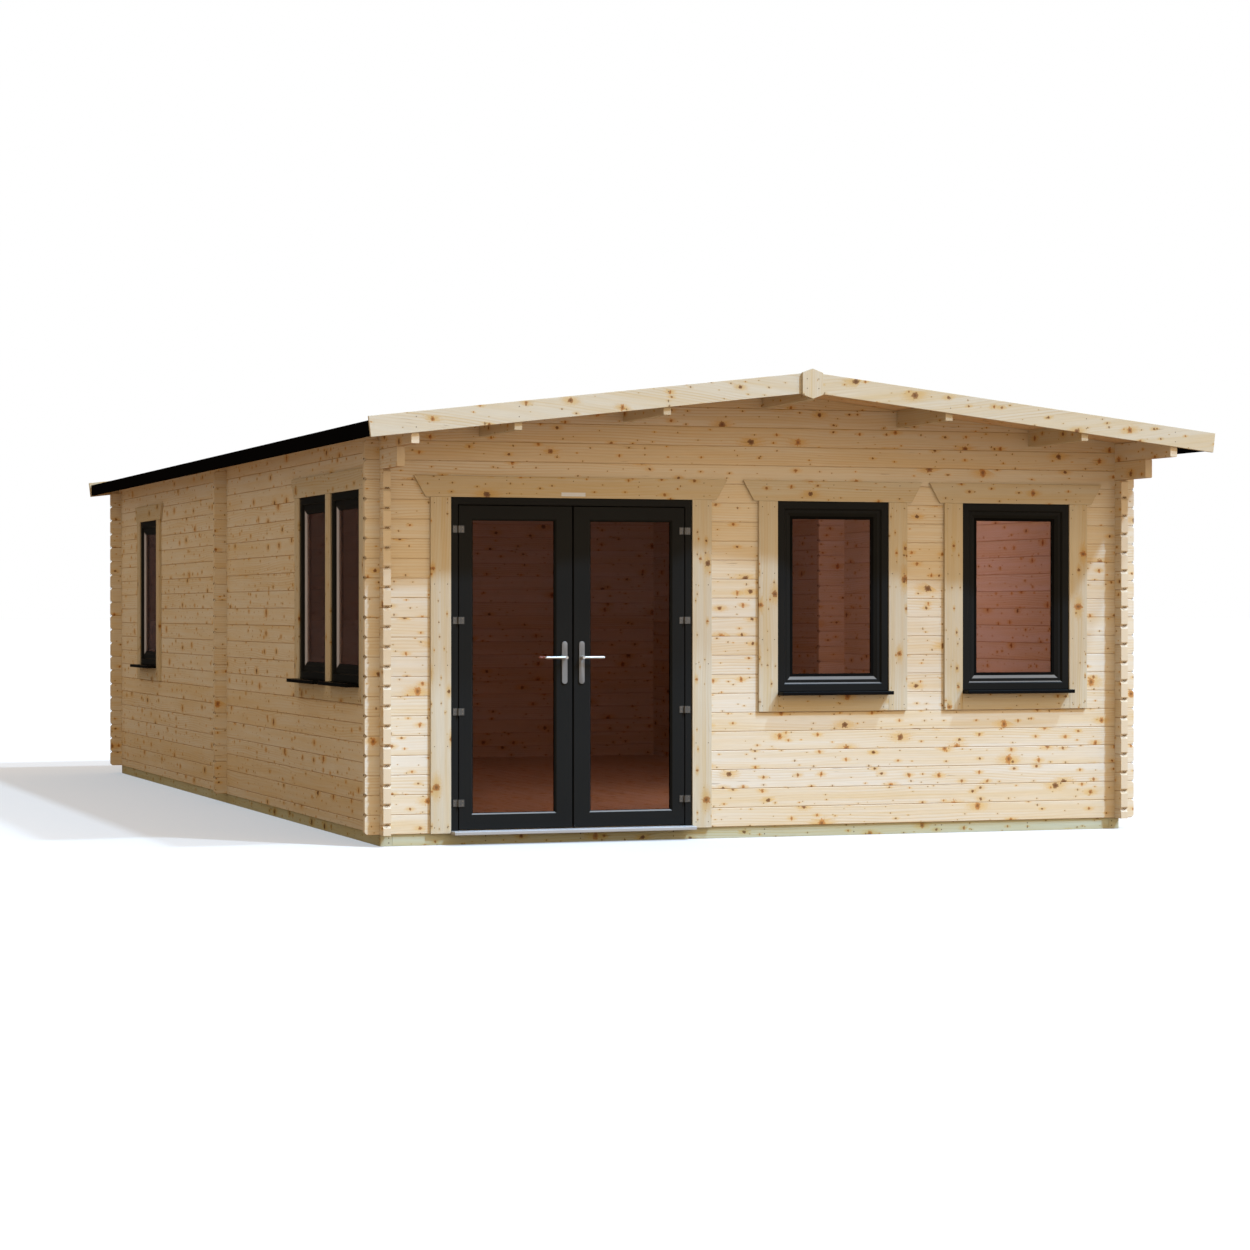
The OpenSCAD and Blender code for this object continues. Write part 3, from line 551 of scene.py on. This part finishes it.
def makeFloor():
    low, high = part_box("floor")
    bm = bmesh.new()
    count = round((high.x - low.x) / floorBoards["width"])
    pitch = (high.x - low.x) / count
    gap = floorBoards["open"] / 2
    ties = [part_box("left_cross_log_ends"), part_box("right_cross_log_ends")]
    for i in range(count):
        x0, x1 = low.x + i * pitch, low.x + (i + 1) * pitch
        cuts = [box for box in ties if x0 < box[1].x and x1 > box[0].x]
        ends = [(low.y, high.y)]
        if cuts:                      # the board stops on both sides of a tie
            ends = [(low.y, cuts[0][0].y), (cuts[0][1].y, high.y)]
        for y0, y1 in ends:
            addBlock(bm, (x0 + gap, y0, low.z), (x1 - gap, y1, high.z), floorBoards["ease"])
    bm.normal_update()
    markGrain(bm, "floorBoards")
    newPiece("floorBoards", bm, "cabin", [floorPine], ["floor"])

roofBoards = {
    "width": 0.096, "thick": 0.019, "open": 0.0008, "ease": 0.004,
    "fromEaves": 0.002, "fromRidge": 0.001, "below": 0.0004, "above": 0.0002,
}

# Frame whose x runs up the slope from the eaves and whose z is square to the boards.
def slopePlace(side, up):
    low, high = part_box(side + "_roof_boards")
    foot = Vector((low.x if side == "left" else high.x, 0, low.z))
    flip = Matrix.Scale(-1, 4, (1, 0, 0)) if side == "right" else Matrix.Identity(4)
    lean = Matrix.Rotation(-roofSlope, 4, "Y")
    return Matrix.Translation(foot) @ flip @ lean @ Matrix.Translation((0, 0, up))

def layOnSlope(bm, side, up):
    bmesh.ops.transform(bm, matrix=slopePlace(side, up), verts=bm.verts)
    if side == "right":
        bmesh.ops.reverse_faces(bm, faces=bm.faces)
    bm.normal_update()

# Boards that run from the eaves to the ridge on one slope, with a groove at each joint.
def makeRoofBoards(side):
    node = side + "_roof_boards"
    low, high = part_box(node)
    thick, gap = roofBoards["thick"], roofBoards["open"] / 2
    reach = (high.x - low.x) / math.cos(roofSlope) - thick * math.tan(roofSlope)
    count = round((high.y - low.y) / roofBoards["width"])
    pitch = (high.y - low.y) / count
    bm = bmesh.new()
    for i in range(count):
        y = low.y + i * pitch
        addBlock(bm, (roofBoards["fromEaves"], y + gap, roofBoards["below"]),
                 (reach - roofBoards["fromRidge"], y + pitch - gap, thick - roofBoards["above"]),
                 roofBoards["ease"])
    layOnSlope(bm, side, 0)
    markGrain(bm, side + "RoofBoards")
    newPiece(side + "RoofBoards", bm, "cabin", [shadedRoofPine], [node])

makeFloor()
for side in ("left", "right"):
    makeRoofBoards(side)

print("floor and roof boards laid")

feltSheets = {"width": 1.0, "lap": 0.08, "thick": 0.0016, "clear": 0.0002, "fromRidge": 0.003}

# Sheets of felt along the roof, lapped at their edges: every other one lies on its neighbours.
def makeFelt(side):
    node = side + "_felt"
    low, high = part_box(node)
    reach = (high.x - low.x) / math.cos(roofSlope)
    count = math.ceil((reach - feltSheets["lap"]) / (feltSheets["width"] - feltSheets["lap"]))
    step = (reach - feltSheets["width"]) / (count - 1)
    thick = feltSheets["thick"]
    bm = bmesh.new()
    for i in range(count):
        x = i * step
        lift = thick if i % 2 else feltSheets["clear"]
        end = min(x + feltSheets["width"], reach - feltSheets["fromRidge"])
        addBlock(bm, (x, low.y, lift), (end, high.y, lift + thick))
    layOnSlope(bm, side, roofBoards["thick"])
    newPiece(side + "FeltSheets", bm, "cabin", [feltFinish], [node])

for side in ("left", "right"):
    makeFelt(side)

print("felt laid")

# Doors and windows. lip is the glass edge hidden in its groove, and step a small move in a profile.
glazing = {"glassBack": 0.012, "glassThick": 0.018, "rearBead": 0.010, "lip": 0.012, "step": 0.001}
leafProfile = {"bead": 0.010, "seal": 0.001, "round": 0.0025}
footSide, rearSide = 0, 3             # sides of a ring, counted from its foot
beadBand, sealBands = 4, (6, 7)       # bands of a glazed ring, counted from its outer edge

# A leaf or sash: a flat ring whose inner edge slopes down to the glass on both faces. The bead slope on one
# side takes painted light: a painted highlight at the foot, or a painted reflection on side windows.
def addGlazedRing(bm, outer, opening, face, back, place, profile, bright=footSide, paintedLightSlot=paintedHighlightSlot):
    edge, bead, seal = profile["round"], profile["bead"], profile["seal"]
    rearBead, step = glazing["rearBead"], glazing["step"]
    glassFace = face + glazing["glassBack"]
    glassRear = glassFace + glazing["glassThick"]
    loops = [inset(outer, 0, face + edge), inset(outer, edge * 0.3, face + edge * 0.3),
             inset(outer, edge, face), inset(opening, -bead - 1.5 * step, face),
             inset(opening, -bead, face + 1.5 * step), inset(opening, -seal - step, glassFace - 2 * step),
             inset(opening, -seal, glassFace - 3 * step), inset(opening, 0, glassFace - 0.5 * step),
             inset(opening, 0, glassRear), inset(opening, -rearBead, back - step),
             inset(opening, -rearBead - step, back), inset(outer, edge, back), inset(outer, 0, back - edge)]
    marks = [sealed if band in sealBands else painted for band in range(len(loops))]
    shown = [beadBand]
    if paintedLightSlot == paintedReflectionSlot:
        shown = range(beadBand, beadBand + 5)             # the painted reflection reaches under the glass as well
    addRing(bm, loops, place, marks, [(band, bright) for band in shown], paintedLightSlot)

def makeLeaf(side):
    node = side + "_door_leaf"
    low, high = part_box(node)
    glassLow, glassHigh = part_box(side + "_door_glass")
    lip = glazing["lip"]
    outer = (low.x, high.x, low.z, high.z)
    opening = (glassLow.x + lip, glassHigh.x - lip, glassLow.z + lip, glassHigh.z - lip)
    bm = bmesh.new()
    addGlazedRing(bm, outer, opening, low.y, high.y, Matrix.Identity(4), leafProfile)
    bmesh.ops.recalc_face_normals(bm, faces=bm.faces)
    materials = [anthracite, rubber, paintedHighlightGrey]
    newPiece(side + "LeafRing", bm, side + "_door", materials, [node])

for side in ("left", "right"):
    makeLeaf(side)

# Where each window stands: a frame whose x runs along the wall, y into it and z up from the
# window's foot, with the window's half width and height.
def windowPlaces():
    places = []
    for low, high in nodeSolids("window_frames"):
        middle, size = (low + high) / 2, high - low
        side = size.x < size.y
        if side:
            place = Matrix.Translation((leftX, middle.y, low.z)) @ Matrix.Rotation(-math.pi / 2, 4, "Z")
        else:
            place = Matrix.Translation((middle.x, frontY, low.z))
        places.append((place, (size.y if side else size.x) / 2, size.z, side))
    return places

windows = {"face": 0.046, "out": 0.011, "sash": 0.061, "back": 0.012, "round": 0.003, "ledge": 0.007}
ledgeHighlightBand = 4                         # band of a window frame whose foot takes a painted highlight
sashProfile = {"bead": 0.036, "seal": 0.017, "round": 0.002}
sideProfile = {"bead": 0.024, "seal": 0.001, "round": 0.002}

def makeWindowRings():
    frames, sashes = bmesh.new(), bmesh.new()
    face, edge, out, ledge = windows["face"], windows["round"], windows["out"], windows["ledge"]
    thick, step = logs["thick"], glazing["step"]
    sashFace = windows["back"] - out
    for place, half, tall, side in windowPlaces():
        outer = (-half, half, 0.0, tall)
        rebate = inset(outer, face, 0)[:4]
        loops = [inset(outer, 0, edge - out), inset(outer, edge * 0.3, edge * 0.3 - out),
                 inset(outer, edge, -out), inset(rebate, -edge, -out), inset(rebate, 0, edge * 0.5 - out),
                 inset(rebate, ledge, sashFace - 2 * step), inset(rebate, ledge, sashFace - 0.5 * step),
                 inset(rebate, 0, sashFace - 0.5 * step), inset(rebate, 0, thick), inset(outer, 0, thick)]
        addRing(frames, loops, place, paintedLightPairs=() if side else [(ledgeHighlightBand, footSide)])
        sash = inset(rebate, step, 0)[:4]
        opening = inset(rebate, windows["sash"], 0)[:4]
        # Side windows take the painted reflection on their rear bead, the others the painted highlight at
        # their foot.
        if side:
            addGlazedRing(sashes, sash, opening, sashFace, thick, place, sideProfile, rearSide, paintedReflectionSlot)
        else:
            addGlazedRing(sashes, sash, opening, sashFace, thick, place, sashProfile)
    for bm in (frames, sashes):
        bmesh.ops.recalc_face_normals(bm, faces=bm.faces)
    materials = [anthracite, rubber, paintedHighlightGrey, paintedReflectionBand]
    newPiece("windowFrameRings", frames, "cabin", materials, ["window_frames"])
    newPiece("sashRings", sashes, "cabin", materials, ["window_sashes"])

makeWindowRings()

def easedPiece(name, node, body, material, ease, shortest=0.018):
    bm = nodeMesh(node)
    easeEdges(bm, ease, shortest)
    newPiece(name, bm, body, [material], [node])

easedPiece("doorFrameMade", "door_frame", "cabin", anthracite, ease=0.003)
easedPiece("sills", "window_sills", "cabin", sillBlack, ease=0.004)
easedPiece("thresholdBar", "threshold", "cabin", greySill, ease=0.003)
easedPiece("eavesBoards", "eaves_boards", "cabin", blackBoard, ease=0.002)
for side in ("left", "right"):
    easedPiece(side + "Plates", side + "_handle_plates", side + "_door", satinSteel,
               ease=0.0016, shortest=0.0001)

print("doors and windows made")

# Small parts. The wave of a tongue is across the log and up, in millimetres.
tongues = {
    "line": 0.0026, "proud": 0.0004, "frontJoints": 19, "sideJoints": 18,
    "wave": ((-11, -1), (-8, 7), (-4, 7), (-1.5, -1), (1.5, -1), (4, 7), (8, 7), (11, -1)),
}

# The double tongue between two logs, seen on their sawn ends as a dark line: a thin proud strip of painted
# shade along the joint.
def addTongueShadeLine(bm, centre, acrossEnd, outward):
    acrossEnd, outward, up = Vector(acrossEnd), Vector(outward), Vector((0, 0, 1))
    place = Matrix.Translation(Vector(centre)) @ Matrix((acrossEnd, outward, up)).transposed().to_4x4()
    for (a0, h0), (a1, h1) in zip(tongues["wave"], tongues["wave"][1:]):
        start, end = Vector((a0, 0, h0)) / 1000, Vector((a1, 0, h1)) / 1000
        turn = Matrix.Rotation(-math.atan2(end.z - start.z, end.x - start.x), 4, "Y")
        middle = (start + end) / 2
        size = ((end - start).length + tongues["line"] * 0.6, 2 * tongues["proud"], tongues["line"])
        bmesh.ops.create_cube(bm, size=1.0, matrix=place @ Matrix.Translation(middle) @ turn
                              @ Matrix.Diagonal((*size, 1)))

def makeTongueShadeLines():
    bm = bmesh.new()
    half = logs["thick"] / 2
    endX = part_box("front_wall_right")[1].x
    frontEnd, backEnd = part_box("front_log_ends")[0].y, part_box("back_log_ends")[1].y
    tieLow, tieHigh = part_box("left_cross_log_ends")
    midY = (tieLow.y + tieHigh.y) / 2
    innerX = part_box("right_cross_log_ends")[0].x
    for n in range(1, tongues["frontJoints"] + 1):
        z = footZ + n * logs["course"]
        for sign in (-1, 1):
            for y in (frontY + half, midY, backY - half):
                addTongueShadeLine(bm, (sign * endX, y, z), (0, 1, 0), (sign, 0, 0))
            addTongueShadeLine(bm, (sign * innerX, midY, z), (0, 1, 0), (-sign, 0, 0))
    for n in range(tongues["sideJoints"]):
        z = footZ + (n + 0.5) * logs["course"]
        for sign in (-1, 1):
            addTongueShadeLine(bm, (sign * (rightX - half), frontEnd, z), (1, 0, 0), (0, -1, 0))
            addTongueShadeLine(bm, (sign * (rightX - half), backEnd, z), (1, 0, 0), (0, 1, 0))
    newPiece("logTongueShadeLines", bm, "cabin", [tongueShadeBrown])

makeTongueShadeLines()

nails = {"radius": 0.0032, "rise": 0.0007, "edge": 0.022, "end": 0.0352, "splay": 0.15, "pitch": 0.42}
# Least sizes that tell how a trim board lies, and which boards are the splayed ones over an opening.
trimSizes = {"thin": 0.03, "upright": 0.5, "headLong": 0.75, "headTall": 0.1, "headHigh": 1.5}

# Nail heads in pairs along each trim board.
def makeNails():
    bm = bmesh.new()
    boards = nodeSolids("door_trim") + nodeSolids("front_window_trim") + nodeSolids("side_window_trim")
    for low, high in boards:
        size, middle = high - low, (low + high) / 2
        depth = 1 if size.y < trimSizes["thin"] else 0
        long = 2 if size.z > trimSizes["upright"] else 1 - depth
        wide = 3 - depth - long
        outward = Vector((0, 0, 0))
        outward[depth] = -1
        isHead = (long != 2 and size[long] > trimSizes["headLong"] and size.z > trimSizes["headTall"]
                  and low.z > trimSizes["headHigh"])
        end = nails["splay"] if isHead else nails["end"]
        run = size[long] - 2 * end
        count = max(2, round(run / nails["pitch"]) + 1)
        for i in range(count):
            for across in (nails["edge"], size[wide] - nails["edge"]):
                spot = middle.copy()
                spot[depth] = low[depth]
                spot[long] = low[long] + end + i * run / (count - 1)
                spot[wide] = low[wide] + across
                addHead(bm, spot, outward, nails)
    newPiece("trimNails", bm, "cabin", [nailSteel])

bargeNails = {"down": (0.030, 0.088), "plaqueAside": 0.036, "plaqueEnd": 0.06}

# Two nails through each bargeboard into each purlin and eaves log, and four through each plaque.
def makeBargeNails():
    bm = bmesh.new()
    held = ("left_purlins", "right_purlins", "left_eaves_logs", "right_eaves_logs")
    supports = [(low.x + high.x) / 2 for name in held for low, high in nodeSolids(name)]
    frontFace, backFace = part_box("front_bargeboards")[0].y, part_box("back_bargeboards")[1].y
    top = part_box("front_bargeboards")[1].z
    for x in supports:
        z = top - abs(x) * math.tan(roofSlope)
        for face, sign in ((frontFace, -1), (backFace, 1)):
            for down in bargeNails["down"]:
                addHead(bm, (x, face, z - down), (0, sign, 0), nails)
    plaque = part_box("ridge_plaques")
    for face, sign in ((plaque[0].y, -1), (plaque[1].y, 1)):
        for x in (-bargeNails["plaqueAside"], bargeNails["plaqueAside"]):
            for z in (plaque[0].z + bargeNails["plaqueEnd"], plaque[1].z - bargeNails["plaqueEnd"]):
                addHead(bm, (x, face, z), (0, sign, 0), nails)
    newPiece("bargeNails", bm, "cabin", [nailSteel])

baseScrews = {"pitch": 0.58, "edge": 0.05, "heights": (0.020, 0.048), "radius": 0.004, "rise": 0.0008}

# Screws through the base beams, in pairs: front and back, then both sides.
def makeBaseScrews():
    bm = bmesh.new()
    low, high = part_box("base_frame")
    edge = baseScrews["edge"]
    for along, facing in ((0, 1), (1, 0)):
        count = round((high[along] - low[along]) / baseScrews["pitch"])
        for face, sign in ((low[facing], -1), (high[facing], 1)):
            outward = Vector((0, 0, 0))
            outward[facing] = sign
            for i in range(count + 1):
                for z in baseScrews["heights"]:
                    spot = Vector((face, face, z))
                    spot[along] = low[along] + edge + i * (high[along] - low[along] - 2 * edge) / count
                    addHead(bm, spot, outward, baseScrews)
    newPiece("baseScrews", bm, "cabin", [nailSteel])

makeNails()
makeBargeNails()
makeBaseScrews()

blankPlate = {"wide": 0.149, "tall": 0.023, "thick": 0.0016, "up": 0.022, "ease": 0.0007}
plateScrews = {"in": 0.006, "radius": 0.0022, "rise": 0.0006}

# A plain plate over the doors, with nothing on it.
def makeBlankPlate():
    doorLow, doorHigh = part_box("door_frame")
    x, z = (doorLow.x + doorHigh.x) / 2, doorHigh.z + blankPlate["up"]
    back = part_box("door_trim")[0].y
    face = back - blankPlate["thick"]
    half, halfTall = blankPlate["wide"] / 2, blankPlate["tall"] / 2
    bm = bmesh.new()
    addBlock(bm, (x - half, face, z - halfTall), (x + half, back, z + halfTall), blankPlate["ease"])
    for side in (-1, 1):
        spot = (x + side * (half - plateScrews["in"]), face, z)
        addHead(bm, spot, (0, -1, 0), plateScrews)
    newPiece("blankPlate", bm, "cabin", [plateFinish])

makeBlankPlate()

seals = {"depths": (0.006, 0.028), "thick": 0.005, "sunk": 0.001, "proud": 0.0035, "short": 0.004,
         "ease": 0.0012}

# Rubber seals on the meeting edges of the two leaves.
def makeSeals(side):
    low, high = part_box(side + "_door_leaf")
    edge, sign = (high.x, 1) if side == "left" else (low.x, -1)
    x0, x1 = sorted((edge - sign * seals["sunk"], edge + sign * seals["proud"]))
    bm = bmesh.new()
    for deep in seals["depths"]:
        y = low.y + deep
        addBlock(bm, (x0, y, low.z + seals["short"]), (x1, y + seals["thick"], high.z - seals["short"]),
                 seals["ease"])
    newPiece(side + "Seals", bm, side + "_door", [rubber])

hingeScrews = {"in": 0.010, "up": 0.011, "plate": 0.004, "radius": 0.0035, "rise": 0.0007, "sides": 12}

# Two screws in each half hinge, near the edge that lies away from the knuckle.
def makeHingeScrews():
    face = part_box("left_door_leaf")[0].y - hingeScrews["plate"]
    frameLow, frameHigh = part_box("door_frame")
    middleX = (frameLow.x + frameHigh.x) / 2
    for name, body, label in (("frame_hinges", "cabin", "frame"), ("left_door_hinges", "left_door", "left"),
                              ("right_door_hinges", "right_door", "right")):
        bm = bmesh.new()
        for low, high in nodeSolids(name):
            knuckleRight = (name == "frame_hinges") == (low.x < middleX)
            x = low.x + hingeScrews["in"] if knuckleRight else high.x - hingeScrews["in"]
            z = (low.z + high.z) / 2
            for up in (-hingeScrews["up"], hingeScrews["up"]):
                addHead(bm, (x, face, z + up), (0, -1, 0), hingeScrews)
        newPiece(label + "HingeScrews", bm, body, [nailSteel])

for side in ("left", "right"):
    makeSeals(side)

makeHingeScrews()

ribs = {"count": 4, "wide": 0.004, "tall": 0.0012, "first": 0.018, "pitch": 0.014, "short": 0.01,
        "sunk": 0.0005, "ease": 0.0005}

# Ribs along the top of the threshold.
def makeThresholdRibs():
    low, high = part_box("threshold")
    bm = bmesh.new()
    for i in range(ribs["count"]):
        y = low.y + ribs["first"] + i * ribs["pitch"]
        addBlock(bm, (low.x + ribs["short"], y, high.z - ribs["sunk"]),
                 (high.x - ribs["short"], y + ribs["wide"], high.z + ribs["tall"]), ribs["ease"])
    newPiece("thresholdRibs", bm, "cabin", [greySill])

makeThresholdRibs()

ridgeStrip = {"half": 0.15, "thick": 0.0018, "up": 0.0005}

# A folded strip of felt over the ridge.
def makeRidgeStrip():
    low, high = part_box("left_felt")
    peak = high.z + ridgeStrip["up"]
    bm = bmesh.new()
    half, thick = ridgeStrip["half"], ridgeStrip["thick"]
    drop = math.tan(roofSlope) * half
    outline = ((-half, peak - drop), (0, peak), (half, peak - drop),
               (half, peak - drop + thick), (0, peak + thick), (-half, peak - drop + thick))
    rows = [[bm.verts.new((x, y, z)) for x, z in outline] for y in (low.y, high.y)]
    for i in range(len(outline)):
        j = (i + 1) % len(outline)
        bm.faces.new((rows[0][i], rows[0][j], rows[1][j], rows[1][i]))
    bm.faces.new(rows[0])
    bm.faces.new(list(reversed(rows[1])))
    bmesh.ops.recalc_face_normals(bm, faces=bm.faces)
    newPiece("ridgeFelt", bm, "cabin", [feltFinish])

makeRidgeStrip()
print("small parts added")

# Floor, light and camera. A key has a name, its azimuth and elevation in degrees, its strength
# and its width in degrees.
studio = {
    "floorSize": 900.0, "floorTone": (0.60, 0.50, 0.44, 1), "floorGlow": (0.245, 0.355, 0.445, 1),
    "bounce": (0.42, 0.27, 0.16, 1), "glossFloor": (0.015, 0.015, 0.015, 1),
    "sky": (0.64, 0.515, 0.35, 1), "frontSky": (2.15, 1.68, 1.06, 1), "front": (0.62, -0.76, 0.15),
    "darkGloss": (0.02, 0.02, 0.022, 1), "frontGloss": (1.3, 1.3, 1.3, 1),
    "keys": (("low key", 39.0, 44.2, 2.25, 3.0), ("high key", 39.0, 58.9, 1.65, 3.0)),
    "keyColour": (0.55, 0.87, 1.25),
}

# Camera rays, and those that pass through glass, see the floor and the sky as plain white.
def seenRays(tree):
    path = addNode(tree, "LightPath").outputs
    return maths(tree, "MAXIMUM", path["Is Camera Ray"], path["Is Transmission Ray"])

# The floor shows white where the light reaches it, and keeps the cabin's shadow.
def makeFloorPlane():
    bm = bmesh.new()
    bmesh.ops.create_grid(bm, x_segments=1, y_segments=1, size=studio["floorSize"] / 2)
    mesh = bpy.data.meshes.new("studioFloor")
    bm.to_mesh(mesh)
    bm.free()
    plane = bpy.data.objects.new("studioFloor", mesh)
    scene.collection.objects.link(plane)
    material, tree, shader = newMaterial("studio floor")
    tree.nodes.remove(shader)
    shown = addNode(tree, "BsdfDiffuse", {"Color": studio["floorTone"]})
    glow = addNode(tree, "Emission", {"Color": studio["floorGlow"]})
    lit = addNode(tree, "AddShader", {0: shown.outputs[0], 1: glow.outputs[0]})
    gloss = addNode(tree, "LightPath").outputs["Is Glossy Ray"]
    bounce = mixColour(tree, gloss, studio["bounce"], studio["glossFloor"])
    plain = addNode(tree, "BsdfDiffuse", {"Color": bounce})
    both = addNode(tree, "MixShader", {0: seenRays(tree), 1: plain.outputs[0], 2: lit.outputs[0]})
    tree.links.new(both.outputs[0], tree.nodes["Material Output"].inputs["Surface"])
    mesh.materials.append(material)

# A soft warm sky, brighter in front of the cabin, that is seen as plain white.
def makeSky():
    world = bpy.data.worlds.new("studio sky")
    scene.world = world
    world.use_nodes = True
    tree = world.node_tree
    towards = addNode(tree, "TexCoord").outputs["Generated"]
    ahead = vectorMaths(tree, "DOT_PRODUCT", towards, Vector(studio["front"]).normalized())
    share = maths(tree, "POWER", maths(tree, "MAXIMUM", ahead, 0.0), 2.0)
    soft = mixColour(tree, share, studio["sky"], studio["frontSky"])
    gloss = mixColour(tree, share, studio["darkGloss"], studio["frontGloss"])
    soft = mixColour(tree, addNode(tree, "LightPath").outputs["Is Glossy Ray"], soft, gloss)
    colour = mixColour(tree, seenRays(tree), soft, (1, 1, 1, 1))
    tree.links.new(colour, tree.nodes["Background"].inputs["Color"])

def makeKeys():
    for name, azimuth, elevation, strength, softness in studio["keys"]:
        lamp = bpy.data.lights.new(name, "SUN")
        lamp.energy = strength
        lamp.color = studio["keyColour"]
        lamp.angle = math.radians(softness)
        lampObject = bpy.data.objects.new(name, lamp)
        turn, rise = math.radians(azimuth), math.radians(elevation)
        towards = Vector((math.sin(turn) * math.cos(rise), -math.cos(turn) * math.cos(rise), math.sin(rise)))
        lampObject.rotation_euler = towards.to_track_quat("Z", "Y").to_euler()
        scene.collection.objects.link(lampObject)

# Soft light inside the room, so that its walls show through the tinted glass.
roomLamps = (("front room lamp", (0.95, -2.0, 1.70), 50.0, (1.0, 1.04, 1.06)),
             ("rear room lamp", (0.2, 2.2, 1.75), 5.0, (1.0, 0.75, 0.70)))

roomLampSize = 0.35

def makeRoomLamps():
    for name, place, power, colour in roomLamps:
        lamp = bpy.data.lights.new(name, "POINT")
        lamp.energy = power
        lamp.shadow_soft_size = roomLampSize
        lamp.color = colour
        lampObject = bpy.data.objects.new(name, lamp)
        lampObject.location = place
        for kind in ("camera", "glossy", "transmission"):
            setattr(lampObject, "visible_" + kind, False)
        scene.collection.objects.link(lampObject)

viewpoint = {
    "place": (-6.8877, -21.6605, 1.3564), "lens": 90.45, "sensor": 36.0, "farthest": 2000.0,
    "tilt": -0.2437, "turn": -18.816,
}

def makeCamera():
    lens = bpy.data.cameras.new("viewpoint")
    lens.lens = viewpoint["lens"]
    lens.sensor_width = viewpoint["sensor"]
    lens.clip_end = viewpoint["farthest"]
    camera = bpy.data.objects.new("viewpoint", lens)
    camera.location = viewpoint["place"]
    camera.rotation_euler = (math.radians(90 + viewpoint["tilt"]), 0, math.radians(viewpoint["turn"]))
    scene.collection.objects.link(camera)
    scene.camera = camera

makeFloorPlane()
makeSky()
makeKeys()
makeRoomLamps()
makeCamera()
scene.view_settings.view_transform = "Standard"
print("studio set")
